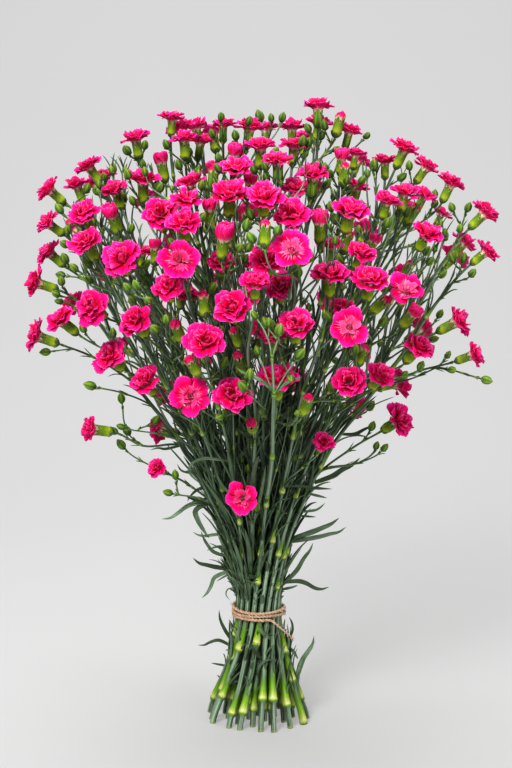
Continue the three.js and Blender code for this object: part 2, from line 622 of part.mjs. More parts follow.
// ---- Heads as rings on their own axis: [height, radius] pairs, or a function of the angle ----
function headRings(head, x, random) {
  const [u, v] = across(head.axis, x);
  const at = (h) => head.foot.clone().addScaledVector(head.axis, h);
  const s = head.size;
  if (head.kind === "bud") return [ring(at(7.5 * s), u, v, 4.7 * s, 5), [at(15.5 * s)]];
  const c = Math.min(1, s);
  const sides = head.fine || head.kind !== "open" ? 5 : 4;
  const calyx = [ring(at(2.5 * c), u, v, 5 * c, sides), ring(at(19.5 * c), u, v, 6 * c, sides)];
  const turn = random() * 1.2;
  if (head.kind === "tip") return [...calyx, ring(at(22 * c), u, v, 4.6 * s, 5), [at(29 * s)]];
  // A ring of petal edges: high corners and low notches, none of them quite alike.
  const edge = (n, reach, height, notchReach, notchDrop) =>
    Array.from({ length: n }, (_, k) => {
      const notch = k % (n / 5) === 0;
      const spread = notch || n === 10 ? 0 : 0.36 * (k % 3) - 0.54;
      const angle = turn + (2 * Math.PI * (k + spread / 1.5)) / n;
      const r = reach * (notch ? notchReach : lerp(0.9, 1.06, random()));
      const h = height + (notch ? -notchDrop : lerp(-1.6, 1.6, random()));
      return at(h).addScaledVector(u, r * Math.cos(angle)).addScaledVector(v, r * Math.sin(angle));
    });
  if (head.kind === "cup") {
    const guard = edge(10, 10.5 * s, 27 * c, 0.72, 4);
    const valley = ring(at(26.5 * c), u, v, 5.2 * s, 5, turn);
    const inner = ring(at(32 * c), u, v, 6.4 * s, 5, turn + 0.6);
    return [...calyx, guard, valley, inner, [at(28.5 * c)]];
  }
  const reach = BLOOM_R * s;
  const full = head.fine;
  return [
    ...calyx,
    edge(full ? 15 : 10, reach, HEAD_LENGTH * c - 1, 0.74, 3.5),
    ring(at(HEAD_LENGTH * c + 1.5), u, v, 0.42 * reach, 5, turn),
    ring(at(HEAD_LENGTH * c + 7.5 * s), u, v, 0.66 * reach, 5, turn + 0.6),
    [at(HEAD_LENGTH * c + 4.5 * s)],
  ];
}

// ---- Leaves: keeled blades from a point inside the stem ----
function leafRoute(root, tip, arch) {
  return (t) => root.clone().lerp(tip, t).add(vec(0, 0, 4 * arch * t * (1 - t)));
}

function leafBody(blade) {
  const at = leafRoute(blade.root, blade.tip, blade.arch);
  const rings = [[0, 0.5], [0.45, 1]].map(([t, share]) => {
    const way = at(t + 0.05).sub(at(t - 0.05)).normalize();
    const side = way.clone().cross(vec(0, -0.5, 1)).normalize();
    const under = side.clone().cross(way);
    const centre = at(t);
    return [
      centre.clone().addScaledVector(side, (blade.width / 2) * share),
      centre.clone().addScaledVector(under, 1.6 * share),
      centre.clone().addScaledVector(side, (-blade.width / 2) * share),
    ];
  });
  return skin([...rings, [at(1)]]);
}

function addLeaf(spray, root, tips, arch, width) {
  let best = null;
  for (const tip of tips) {
    const at = leafRoute(root, tip, arch);
    const gap = clearance([0.3, 0.5, 0.75, 1].map(at), width / 2, spray.s, null);
    if (!best || gap > best.gap + 0.5) best = { gap, tip };
  }
  if (best.gap < 0.4) return;
  const blade = { root, tip: best.tip, arch, width };
  spray.leaves.push(blade);
  const at = leafRoute(root, best.tip, arch);
  for (const t of [0.3, 0.6]) rods.push({ p: at(t), q: at(t + 0.35), r: width / 2, spray: spray.s });
}

sprays.forEach((spray) => (spray.leaves = []));
for (const [u0, v0, u1, v1, arch, width] of LEAVES) {
  let found = null;
  for (const spray of sprays)
    for (let i = 1; i < spray.trunk.length; i++)
      for (let t = 0; t < 1; t += 0.04) {
        const p = spray.trunk[i - 1].clone().lerp(spray.trunk[i], t);
        const [u, v] = pixelOf(p);
        const miss = Math.hypot(u - u0, v - v0);
        const score = miss * 3 + p.y * 0.5;
        if (miss < 9 && (!found || score < found.score)) found = { score, spray, p };
      }
  if (!found) continue;
  const line = sightLine(u1, v1);
  const reach = (found.p.y - EYE[1]) / line.y;
  const tips = [-6, 6, -16, 16].map((d) => onSight(line, reach + d));
  addLeaf(found.spray, found.p, tips, arch, width);
}
const leafRandom = randomStream(67);
for (let k = 0; k < BACK_LEAVES; k++) {
  const spray = sprays[19 + ((k * 5 + 2) % 9)];
  const i = 1 + (k % 2) + spray.trunk.findIndex((p) => p.z > WAIST_Z + 10);
  const root = spray.trunk[i - 1].clone().lerp(spray.trunk[i], leafRandom());
  const out = Math.atan2(root.y, root.x);
  const tips = [0, 0.5, -0.5, 0.9].map((turn) => {
    const reach = lerp(28, 42, leafRandom());
    const rise = lerp(-10, 24, leafRandom());
    return root.clone().add(vec(reach * Math.cos(out + turn), reach * Math.sin(out + turn), rise));
  });
  addLeaf(spray, root, tips, 8, 5);
}

// ---- The twine: wound round the waist, with one loose end ----
function twineBody() {
  const r = WAIST_R + STEM_R + TWINE_R + 1.4;
  const end = radians(TWINE_END_TURN);
  const low = WAIST_Z - (TWINE_TURNS * TWINE_RISE) / 2;
  const path = [
    vec(r * Math.cos(end) + 23, r * Math.sin(end) - 9, low - 24),
    vec(r * Math.cos(end) + 15, r * Math.sin(end) - 8, low - 13),
    vec(r * Math.cos(end) + 6, r * Math.sin(end) - 5.5, low - 4),
  ];
  for (let k = 0; k <= TWINE_STEPS * TWINE_TURNS; k++) {
    const angle = end - (2 * Math.PI * k) / TWINE_STEPS;
    path.push(vec(r * Math.cos(angle), r * Math.sin(angle), low + (TWINE_RISE * k) / TWINE_STEPS));
  }
  return skin(sweepRings(path, path.map(() => TWINE_R), 5).rings);
}

// ---- Putting a spray together ----
const shape = randomStream(101);

function sprayBody(spray) {
  const parts = [];
  const sides = spray.s < INNER_STEMS ? 4 : 5;
  // Corners point away from the middle of the bunch, so that neighbours lie close in the tie.
  const [a, b] = sites[spray.s || 1];
  const corner = vec(a, b, 0);
  spray.stalks.forEach((stalk, i) => {
    const main = i === 0;
    const route = main ? [...spray.trunk, ...stalk.route.slice(1)] : stalk.route;
    const radii = route.map((p, k) => {
      const taper = lerp(STEM_TOP_R, STALK_R, k / (route.length - 1));
      return main ? (p.r ?? taper) : stalk.r;
    });
    const { rings, x } = main
      ? sweepRings(route, radii, sides, vec(0, 0, 1), corner)
      : sweepRings(route, radii, 3);
    parts.push(skin([...rings, ...headRings(stalk.head, x, shape)]));
  });
  spray.leaves.forEach((blade) => parts.push(leafBody(blade)));
  return wasm.Manifold.union(parts);
}

// ---- The mesh of each piece ----
function meshOf(body, name, colour, roughness) {
  const { numProp, vertProperties, triVerts } = body.getMesh();
  const geometry = new THREE.BufferGeometry();
  const position = new Float32Array((vertProperties.length / numProp) * 3);
  for (let i = 0; i < position.length / 3; i++)
    for (let k = 0; k < 3; k++) position[3 * i + k] = vertProperties[i * numProp + k];
  geometry.setAttribute("position", new THREE.BufferAttribute(position, 3));
  geometry.setIndex(new THREE.BufferAttribute(new Uint32Array(triVerts), 1));
  geometry.translate(SHIFT[0], SHIFT[1], 0);
  geometry.computeVertexNormals();
  const mesh = new THREE.Mesh(geometry, new THREE.MeshStandardMaterial({ color: colour, roughness }));
  mesh.name = name;
  return mesh;
}

const bunch = new THREE.Group();
bunch.name = "carnation_bunch";
heads.forEach((head) => (head.fine = head.kind === "open" && head.middle.y < 0 && head.size > FINE_SIZE));
for (const spray of sprays) {
  const number = String(spray.s + 1).padStart(2, "0");
  bunch.add(meshOf(sprayBody(spray), `spray_${number}`, GREEN_AND_PINK, 0.8));
}
bunch.add(meshOf(twineBody(), "twine_tie", JUTE, 0.95));
export default bunch;
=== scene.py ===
"""A hand-tied bunch of pink spray carnations that stands on its splayed, cut stem ends."""
import functools
import math
from types import SimpleNamespace as Record

import bmesh
import bpy
import numpy as np
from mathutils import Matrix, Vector


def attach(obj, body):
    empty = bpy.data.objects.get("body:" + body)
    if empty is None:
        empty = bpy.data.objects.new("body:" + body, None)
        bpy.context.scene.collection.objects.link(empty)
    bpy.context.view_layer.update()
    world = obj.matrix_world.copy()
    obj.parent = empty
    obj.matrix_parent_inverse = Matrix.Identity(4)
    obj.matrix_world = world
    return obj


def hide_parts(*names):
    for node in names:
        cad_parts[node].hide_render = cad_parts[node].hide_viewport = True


bl_info = {
    "name": "Carnation bunch",
    "version": (1, 0, 0),
    "blender": (4, 5, 0),
    "location": "3D View > Sidebar > Carnations",
    "description": "Grows a tied bunch of spray carnations over its solids",
    "category": "Add Mesh",
}

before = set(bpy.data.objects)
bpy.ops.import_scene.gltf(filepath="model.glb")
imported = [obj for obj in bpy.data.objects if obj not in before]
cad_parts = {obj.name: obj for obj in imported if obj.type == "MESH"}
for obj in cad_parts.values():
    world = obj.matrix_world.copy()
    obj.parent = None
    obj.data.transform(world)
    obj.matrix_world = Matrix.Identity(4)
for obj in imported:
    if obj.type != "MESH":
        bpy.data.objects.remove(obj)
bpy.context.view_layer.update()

# ---- The bunch, in millimetres: the same named sizes and rules as its solids ----
WAIST_Z = 118  # height of the tie
STEM_PITCH = 7  # between stems where the twine draws them together
RINGS = 3  # rings of stems round the middle one
WAIST_R = RINGS * STEM_PITCH
FOOT_R = 49  # outermost stems at the floor
FLARE_RATE = 18.2  # how fast the outermost stems spread above the tie
FLARE_POWER = 1.81
STRAIGHT_Z = 400  # from here up the stems run straight
STRAIGHT_SLOPE = 0.62
SPIRAL = 0.55  # radians that a stem winds round the bunch on either side of the tie
SPIRAL_Z = 90
STEM_R = 3.4  # low down
STEM_TOP_R = 2
STALK_R = 1.3  # of a bloom
BUD_STALK_R = 1
BLOOM_R = 19  # a fully open bloom
HEAD_LENGTH = 28  # from the foot of the calyx to the middle of the open petals
SHIFT = (-1.9, -1.2)  # centres the box round the bunch on the origin
EYE = np.array([-3.0, -1800.0, 620.0])
EYE_TILT = math.radians(8.36)
EYE_FOCUS = 1765  # pixels
HEAD_REACHES = range(1480, 2081, 5)  # from the eye, where a line of sight can cross the head
PICTURE_HEIGHT = 768  # pixels
PICTURE_MIDDLE = (256, PICTURE_HEIGHT / 2)
# Half-width of the flowering head against height.
HEAD_OUTLINE = (
    (225, 52), (260, 84), (300, 122), (350, 172), (400, 215), (450, 234), (500, 234), (550, 206),
    (600, 152), (640, 78), (652, 0),
)
# Open blooms of the front picture: pixel across, pixel down, lean in degrees, degrees turned to the viewer,
# share of a full bloom, and depth: the share of the way through the head. The next three tables are alike.
OPEN_BLOOMS = (
    (47, 188, -50, 12, 0.85, 0.5), (87, 164, -35, 8, 0.85, 0.5), (76, 183, -20, 8, 0.8, 0.75),
    (114, 188, -20, 25, 0.85, 0.3), (143, 177, 0, 15, 0.95, 0.2), (135, 136, -10, 8, 0.85, 0.6),
    (82, 212, -25, 40, 0.95, 0.15), (107, 173, 0, 5, 0.6, 0.85), (172, 116, 3, 4, 0.75, 0.6),
    (184, 136, -3, 8, 0.85, 0.25), (201, 139, 8, 5, 0.75, 0.4), (223, 123, 0, 5, 0.7, 0.3),
    (250, 125, 8, 5, 0.85, 0.25), (260, 144, 0, 12, 0.85, 0.1), (190, 180, -12, 12, 0.8, 0.1),
    (236, 166, 5, 30, 0.95, 0.05), (185, 197, 0, 30, 0.85, 0.06), (229, 191, 0, 38, 1, 0.05),
    (264, 194, 0, 50, 1, 0.03), (160, 212, -10, 55, 1, 0.1), (183, 221, -5, 45, 0.95, 0.02),
    (318, 104, 0, 4, 0.85, 0.55), (350, 129, 15, 5, 0.75, 0.55), (292, 125, 0, 5, 0.8, 0.65),
    (294, 143, 5, 10, 0.8, 0.2), (278, 158, 0, 14, 0.9, 0.12), (356, 152, 10, 8, 0.65, 0.5),
    (313, 172, 3, 20, 0.9, 0.1), (295, 186, -3, 35, 0.75, 0.14), (385, 159, 0, 8, 0.75, 0.6),
    (358, 185, 15, 15, 0.7, 0.35), (388, 199, 15, 20, 0.75, 0.2), (351, 208, 12, 35, 1, 0.08),
    (292, 213, 0, 50, 1, 0.05), (406, 146, 25, 8, 0.9, 0.5), (428, 165, 35, 5, 0.8, 0.45),
    (452, 181, 25, 5, 0.85, 0.5), (487, 211, 45, 5, 0.9, 0.5), (405, 190, 10, 15, 0.8, 0.15),
    (425, 193, 25, 15, 0.75, 0.35), (443, 212, 30, 0, 0.6, 0.8), (46, 222, -55, 20, 0.8, 0.4),
    (47, 251, -50, 12, 0.85, 0.6), (34, 282, -72, 10, 0.9, 0.5), (84, 240, -30, 35, 0.95, 0.15),
    (121, 258, -20, 60, 1.05, 0.08), (91, 306, -50, 58, 1, 0.15), (58, 318, -50, 25, 0.95, 0.3),
    (34, 335, -70, 15, 0.95, 0.5), (134, 320, -35, 45, 0.95, 0.12), (143, 250, 10, 20, 0.65, 0.35),
    (179, 258, 0, 75, 1.08, 0.04), (221, 261, 0, 50, 0.75, 0.16), (267, 258, 0, 58, 1, 0.08),
    (255, 280, 0, 40, 0.8, 0.05), (249, 296, 5, 45, 0.65, 0.13), (231, 306, -15, 60, 1, 0.05),
    (168, 286, -5, 55, 0.85, 0.06), (185, 291, 20, 35, 0.75, 0.16), (205, 341, 0, 68, 1.05, 0.05),
    (292, 247, 0, 70, 1.08, 0.02), (280, 285, 0, 50, 0.9, 0.18), (330, 272, 0, 35, 1, 0.12),
    (331, 243, 5, 20, 0.75, 0.25), (362, 251, 20, 40, 0.8, 0.12), (370, 277, 5, 40, 1, 0.1),
    (296, 323, 0, 45, 0.95, 0.08), (350, 326, 0, 80, 1.05, 0.05), (342, 306, 5, 35, 0.85, 0.3),
    (272, 333, -5, 40, 0.8, 0.12), (408, 287, 20, 55, 1.05, 0.12), (428, 231, 25, 40, 0.9, 0.15),
    (466, 241, 40, 0, 0.8, 0.75), (488, 250, 50, 5, 0.8, 0.45), (460, 320, 62, 8, 0.95, 0.5),
    (421, 345, 40, 30, 0.95, 0.25), (476, 354, 70, 15, 0.8, 0.5), (108, 355, -45, 45, 1, 0.25),
    (144, 379, -30, 45, 0.9, 0.15), (190, 395, 0, 75, 1.1, 0.05), (232, 394, 0, 65, 1.05, 0.05),
    (277, 377, 0, 35, 1.1, 0.14), (349, 380, -5, 58, 1, 0.08), (382, 374, 35, 40, 0.85, 0.2),
    (401, 419, 55, 40, 1, 0.4), (324, 441, 20, 50, 0.65, 0.12), (156, 468, -60, 50, 0.6, 0.45),
    (242, 497, 0, 75, 0.95, -0.1), (241, 262, 10, 25, 0.6, 0.3),
)
CUPS = (
    (110, 210, -20, 30, 1, 0.2), (160, 157, -12, 2, 1, 0.6), (236, 149, 0, 15, 0.95, 0.2),
    (251, 178, 10, 20, 0.8, 0.15), (210, 204, 0, 8, 0.9, 0.12), (342, 153, 5, 20, 0.85, 0.35),
    (320, 216, 0, 15, 1.1, 0.14), (155, 243, 0, 5, 0.8, 0.2), (224, 232, 5, 25, 1.2, 0.05),
    (376, 237, 25, 15, 0.8, 0.25), (416, 310, 40, 15, 0.9, 0.3), (88, 429, -82, 22, 1.15, 0.5),
)
TIPS = (
    (341, 115, 15, 5, 1.1, 0.6), (345, 164, 5, 10, 1, 0.25), (265, 222, 0, 8, 1, -0.03),
    (214, 168, 5, 5, 1.1, 0.3), (203, 293, -5, 12, 1.05, 0.1), (175, 323, -20, 35, 1.15, 0.12),
    (233, 329, -20, 25, 0.9, 0.15), (188, 358, -30, 30, 1, 0.12), (238, 354, -10, 30, 1.15, 0.14),
    (251, 422, -10, 65, 1.1, 0.08), (388, 299, 50, 15, 1.05, 0.2), (309, 396, 18, 25, 1, 0.08),
    (366, 347, 25, 5, 0.9, 0.25), (350, 232, 20, 5, 1, 0.3), (418, 206, 35, 10, 1, 0.3),
    (412, 262, 30, 10, 0.9, 0.4),
)
LONE_BUDS = (
    (88, 385, -75, 5, 1.1, 0.5), (119, 426, -70, 5, 0.8, 0.45), (166, 492, -75, 5, 0.9, 0.4),
    (386, 446, 40, 5, 0.8, 0.5), (377, 444, 20, 5, 0.8, 0.6), (441, 312, 30, 5, 0.85, 0.55),
    (449, 353, 30, 5, 0.7, 0.4), (113, 166, 0, 5, 1, 0.65), (374, 163, 0, 5, 1.1, 0.55),
    (259, 114, -20, 5, 1.1, 0.5), (271, 116, -5, 5, 0.8, 0.6), (283, 115, 15, 5, 0.9, 0.45),
    (280, 328, 15, 30, 1.1, 0.02), (302, 352, 40, 20, 1.05, 0.02), (242, 385, -40, 30, 1.15, 0.0),
    (469, 205, 20, 5, 0.9, 0.6), (422, 364, 30, 5, 0.9, 0.3), (57, 301, -80, 5, 0.75, 0.55),
)
# Large leaves of the solids: the pixels of root and tip, arch in millimetres, width.
LEAVES = (
    (200, 508, 162, 519, 14, 5), (196, 507, 209, 537, 3, 4.5), (222, 534, 194, 533, 4, 5),
    (222, 560, 201, 531, 0, 5), (222, 571, 193, 558, 3, 5), (224, 572, 202, 598, 6, 5),
    (225, 640, 217, 611, 0, 5), (225, 643, 198, 645, 10, 6), (298, 545, 339, 518, 3, 5.5),
    (305, 545, 346, 527, 3, 4.5), (325, 480, 358, 460, 2, 5), (292, 583, 329, 588, 10, 5),
    (299, 676, 314, 637, -4, 7), (291, 617, 296, 640, 3, 5), (165, 448, 142, 447, 2, 4),
    (190, 445, 157, 430, 2, 4.5), (412, 388, 430, 388, 2, 4), (271, 500, 256, 478, 2, 4.5),
    (277, 541, 289, 512, 2, 4.5), (271, 460, 283, 436, 2, 4.5), (238, 450, 222, 432, 2, 4.5),
    (355, 430, 372, 412, 2, 4),
)
BACK_LEAVES = 10
TWINE_R = 2.3
TWINE_TURNS = 3
TWINE_STEPS = 16  # steps in a turn
TWINE_END_TURN = -62  # degrees round from +X where the loose end leaves, on the front
BACK_BLOOMS = 30
CROWN_BLOOMS = 6
BACK_TURN = 0.618034  # share of the back that each next bloom moves on
BACK_SEED = 41
GROWTH_SEED = 7
SIDE_BUD_SEED = 23
BACK_BUD_SEED = 59
LEAF_SEED = 67
MOST_HEADS = 6  # on one stem
FEWEST_HEADS = 3
INNER_STEMS = 19
SHORT_STALK = 45  # a shorter one is straight
STREAM_FACTOR = 48271
STREAM_LIMIT = 2147483647
SIDE_BUD_SHARE = 0.15
# Small green buds, read off the front picture: pixel across, pixel down.
SMALL_BUDS = (
    (126, 149), (145, 143), (127, 172), (88, 186), (96, 189), (58, 207), (131, 198), (142, 162),
    (211, 131), (165, 142), (218, 155), (202, 183), (161, 186), (235, 133), (253, 167), (264, 164),
    (265, 175), (249, 212), (178, 163), (247, 223), (324, 123), (322, 133), (328, 182), (347, 178),
    (350, 187), (364, 178), (365, 205), (303, 139), (309, 140), (334, 217), (324, 167), (318, 163),
    (286, 197), (330, 204), (409, 163), (435, 192), (451, 205), (408, 210), (388, 221), (67, 228),
    (64, 257), (72, 266), (85, 262), (61, 279), (87, 277), (82, 326), (132, 226), (125, 285),
    (135, 283), (131, 299), (113, 331), (204, 215), (213, 286), (250, 245), (246, 257), (250, 236),
    (166, 317), (248, 323), (221, 330), (148, 262), (170, 240), (265, 321), (310, 256), (321, 245),
    (339, 257), (299, 270), (278, 228), (271, 322), (327, 314), (384, 320), (428, 249), (432, 259),
    (451, 256), (464, 256), (474, 271), (121, 396), (126, 429), (120, 443), (174, 338), (225, 361),
    (195, 424), (157, 418), (224, 413), (250, 372), (257, 343), (257, 351), (295, 434), (373, 424),
    (372, 404), (356, 347), (330, 385), (406, 373), (175, 472), (257, 505),
)
BUD_REACH_Y = -222  # no small bud stands further forward
BACK_BUD_SHARE = 0.95
PEDICEL_R = 0.9
LEAF_SHARE = 0.8  # of the joints' two leaves
# Blooms of the front picture, by pixel, that show five plain petals, the first ones round a pale throat.
FIVE_PETALS = ((292, 247), (350, 326), (408, 287), (242, 497), (179, 258), (190, 395))
PALE_HEARTS = 3
# The cup of the front picture, by pixel, whose petals are spread.
WIDE_CUP = (88, 429)
# Narrow leaves along a stem: lowest and highest root, how many a stem, shortest and longest, narrowest and
# widest, and the most degrees they stand off the stem.
LOOSE_LEAVES = (
    (122, 168, 4, 26, 64, 4, 7, 9), (136, 210, 3, 24, 55, 2.6, 5, 42), (210, 330, 6, 30, 72, 2.6, 5, 42),
    (330, 460, 6, 24, 52, 1.8, 3.6, 42), (400, 520, 3, 20, 44, 1.6, 3, 42), (30, 94, 2, 22, 50, 2.4, 5, 12),
)
INNER_LEAVES = ((250, 420, 11, 40, 90, 3, 6, 30), (170, 320, 9, 40, 80, 5, 8, 30))
OUTER_LEAVES = (
    (20, 96, 3, 20, 56, 2, 4.5, 42), (WAIST_Z + 8, WAIST_Z + 16, 4, 6, 16, 0.7, 1.6, 60),
    (WAIST_Z + 6, WAIST_Z + 26, 6, 22, 50, 3.5, 6, 34), (150, 270, 6, 45, 95, 3.5, 6.5, 22),
    (WAIST_Z + 8, WAIST_Z + 44, 2, 22, 44, 3, 5.5, 52),
)
# Thin shoots: lowest and highest root, how many a stem.
SHOOTS = ((170, 430, 6), (380, 540, 4))
# Leaves of the front picture: width, then the pixels they pass from root to tip.
PICTURE_LEAVES = (
    (5, 201, 508, 193, 504, 186, 507, 178, 513, 170, 518, 162, 519),
    (6, 200, 507, 196, 510, 198, 520, 203, 529, 209, 538),
    (3.5, 221, 534, 212, 535, 205, 536, 198, 535, 193, 532),
    (2.5, 205, 500, 197, 499, 190, 498, 186, 496),
    (4, 228, 462, 213, 459, 201, 459, 193, 463, 189, 470, 193, 477, 201, 484),
    (4, 226, 461, 229, 455, 235, 449, 241, 442), (5, 230, 466, 238, 459, 245, 451, 249, 442),
    (2.5, 190, 477, 182, 471, 177, 464), (3, 173, 441, 165, 436, 157, 430),
    (3, 172, 452, 165, 449, 158, 448, 150, 450), (4, 214, 437, 206, 434, 197, 434),
    (4, 232, 498, 225, 489, 219, 480, 216, 472), (5, 228, 541, 226, 526, 222, 512),
    (6, 231, 560, 231, 545, 233, 533, 236, 520), (4, 253, 442, 244, 434, 236, 428),
    (3, 263, 487, 257, 480, 255, 472), (6, 326, 486, 333, 476, 342, 470, 352, 465, 360, 458),
    (6, 302, 541, 312, 532, 322, 528, 331, 524, 339, 518),
    (5, 304, 546, 318, 537, 330, 534, 339, 532, 346, 527), (3, 308, 516, 316, 510, 321, 507, 325, 503),
    (2.5, 306, 521, 316, 517), (3, 317, 497, 327, 498), (4, 286, 486, 300, 486, 315, 488, 332, 489),
    (3, 299, 498, 290, 495, 282, 492), (4, 291, 420, 281, 415, 272, 411),
    (4, 343, 437, 355, 434, 365, 429, 374, 425), (3, 346, 435, 357, 435, 367, 437),
    (3, 272, 460, 265, 453, 260, 446), (5, 227, 571, 216, 567, 207, 565, 199, 563, 193, 558),
    (4.5, 224, 571, 215, 577, 211, 586, 207, 593, 202, 598),
    (4, 222, 559, 214, 552, 207, 544, 203, 537, 201, 531),
    (5, 259, 581, 253, 577, 246, 578, 242, 586, 243, 598), (7, 248, 602, 242, 585, 237, 565),
    (4, 258, 576, 262, 563, 267, 553, 274, 545), (5, 287, 588, 296, 571, 304, 558, 310, 550, 313, 543),
    (5, 289, 585, 298, 581, 306, 583, 315, 588, 322, 589, 329, 587), (3, 286, 590, 293, 587, 298, 585),
    (1.5, 233, 589, 228, 589, 226, 595, 230, 600), (4, 229, 642, 225, 630, 220, 619, 219, 610),
    (4, 226, 645, 219, 640, 210, 642, 204, 645, 198, 645), (3, 289, 641, 292, 632, 292, 623, 289, 617),
    (4, 289, 645, 293, 651, 298, 659), (6, 299, 684, 299, 670, 303, 659, 309, 650, 313, 643, 314, 636),
    (2.5, 218, 664, 211, 663), (3.5, 257, 680, 259, 668, 263, 662, 273, 659),
    (3, 237, 646, 231, 650, 225, 650),
    (4, 245, 700, 249, 690, 252, 683), (4, 240, 660, 236, 668, 232, 676), (5, 262, 660, 255, 652, 250, 643),
    (5, 270, 640, 262, 632, 258, 624),
)
# The branching shoot that stands in front of the others: what it is, its size, and then for each of its
# places the pixel across, the pixel down and the depth.
FRONT_SHOOT = (
    ("stalk", 2.1, 271, 500, -52, 272, 460, -98, 273, 425, -142, 274, 394, -180),
    ("stalk", 1.4, 274, 394, -180, 273, 375, -192, 272, 358, -200),
    ("stalk", 0.95, 272, 358, -200, 275, 348, -206, 278, 339, -211, 280, 334, -214),
    ("stalk", 0.95, 274, 394, -180, 281, 382, -188, 288, 371, -197, 297, 359, -207),
    ("bud", 0.95, 272, 358, -200, 269, 342, -204, 263, 328, -206, 257, 319, -207),
    ("bud", 0.75, 268, 338, -204, 269, 332, -205, 269, 327, -206),
    ("bud", 0.85, 274, 394, -180, 268, 380, -184, 263, 366, -186, 259, 355, -187),
    ("leaf", 4.4, 273, 392, -181, 264, 383, -187, 252, 376, -192, 242, 372, -196, 236, 367, -198),
    ("leaf", 4.2, 275, 392, -181, 284, 385, -188, 293, 380, -194, 302, 377, -200),
)
# Joints that show on the stems of the front picture.
PICTURE_JOINTS = (
    (222, 694), (262, 699), (278, 698), (243, 711), (240, 648), (260, 644), (288, 680), (302, 697),
    (286, 651), (304, 721), (234, 656), (211, 688), (229, 711), (260, 583), (244, 556), (286, 557),
    (281, 586), (277, 541), (227, 571), (227, 540), (217, 504), (227, 466), (300, 496), (299, 552),
    (205, 516), (174, 453), (249, 505),
)


# ---- Layout ----
def lerp(a, b, t):
    return (1 - t) * a + t * b


def clamp(x, low, high):
    return max(low, min(high, x))


def unit(v):
    return v / math.sqrt(v @ v)


def length(v):
    return math.sqrt(v @ v)


def random_stream(seed):
    """A repeatable stream of numbers from 0 to 1."""
    state = seed * 7919 + 17

    def draw():
        nonlocal state
        state = (state * STREAM_FACTOR) % STREAM_LIMIT
        return state / STREAM_LIMIT

    return draw


def flare(z):
    """How far out the outermost stems are at a height."""
    if z < WAIST_Z:
        below = (WAIST_Z - z) / WAIST_Z
        return math.hypot(WAIST_R, below * math.sqrt(FOOT_R**2 - WAIST_R**2))
    curved = WAIST_R + FLARE_RATE * ((min(z, STRAIGHT_Z) - WAIST_Z) / 100) ** FLARE_POWER
    return curved + STRAIGHT_SLOPE * max(0, z - STRAIGHT_Z)


def spiral(z):
    """How far a stem has wound round the bunch at a height."""
    return SPIRAL * math.tanh((z - WAIST_Z) / SPIRAL_Z)


def stem_point(a, b, z):
    """The place at a height of a stem whose share of the ring is a and b."""
    r = flare(z)
    c, s = math.cos(spiral(z)), math.sin(spiral(z))
    return np.array([r * (a * c - b * s), r * (a * s + b * c), z])


def section_place(p):
    """The share of the ring, across and deep, in which a place lies."""
    r = flare(p[2])
    c, s = math.cos(-spiral(p[2])), math.sin(-spiral(p[2]))
    return np.array([p[0] * c - p[1] * s, p[0] * s + p[1] * c]) / r


def head_radius(z):
    rows = HEAD_OUTLINE
    above = next((i for i, row in enumerate(rows) if row[0] > z), 0)
    if above < 1:
        return 0
    (z0, r0), (z1, r1) = rows[above - 1], rows[above]
    return lerp(r0, r1, (z - z0) / (z1 - z0))


def sight_line(u, v):
    """The way from the eye through a pixel of the front picture."""
    across = (u - PICTURE_MIDDLE[0]) / EYE_FOCUS
    up = (PICTURE_MIDDLE[1] - v) / EYE_FOCUS
    c, s = math.cos(EYE_TILT), math.sin(EYE_TILT)
    return np.array([across, c + up * s, -s + up * c])


def at_depth(u, v, depth):
    """The place at a depth that the front picture shows at a pixel."""
    line = sight_line(u, v)
    return EYE + line * ((depth - EYE[1]) / line[1])


def pixel_of(p):
    """The pixel of the front picture at which a place shows."""
    x, y, z = (p - EYE).T
    c, s = math.cos(EYE_TILT), math.sin(EYE_TILT)
    far = y * c - z * s
    up = y * s + z * c
    return PICTURE_MIDDLE[0] + EYE_FOCUS * x / far, PICTURE_MIDDLE[1] - EYE_FOCUS * up / far


def through_head(line):
    """Where a line of sight enters and leaves the head, or passes closest to it."""
    first = last = None
    nearest = (math.inf, 0)
    for reach in HEAD_REACHES:
        p = EYE + line * reach
        gap = math.hypot(p[0], p[1]) - head_radius(p[2])
        if gap < 0:
            first = reach if first is None else first
            last = reach
        if gap < nearest[0]:
            nearest = (gap, reach)
    return (nearest[1], nearest[1]) if first is None else (first, last)


def facing(lean, turn):
    """The axis of a head that leans to one side and is turned to the viewer."""
    side = math.cos(math.radians(turn))
    across = side * math.sin(math.radians(lean))
    up = side * math.cos(math.radians(lean))
    near = math.sin(math.radians(turn))
    c, s = math.cos(EYE_TILT), math.sin(EYE_TILT)
    return unit(np.array([across, up * s - near * c, up * c + near * s]))


PETAL_RADIUS = {"open": BLOOM_R, "cup": 10, "tip": 5.5, "bud": 5}
HEAD_LENGTHS = {"open": HEAD_LENGTH, "cup": 27, "tip": 23, "bud": 8}


def read_heads(rows, kind):
    made = []
    for u, v, lean, turn, size, depth in rows:
        line = sight_line(u, v)
        near, far = through_head(line)
        made.append(Record(kind=kind, size=size, line=line, reach=lerp(near, far, depth),
                           axis=facing(lean, turn), pixel=(u, v)))
    return made


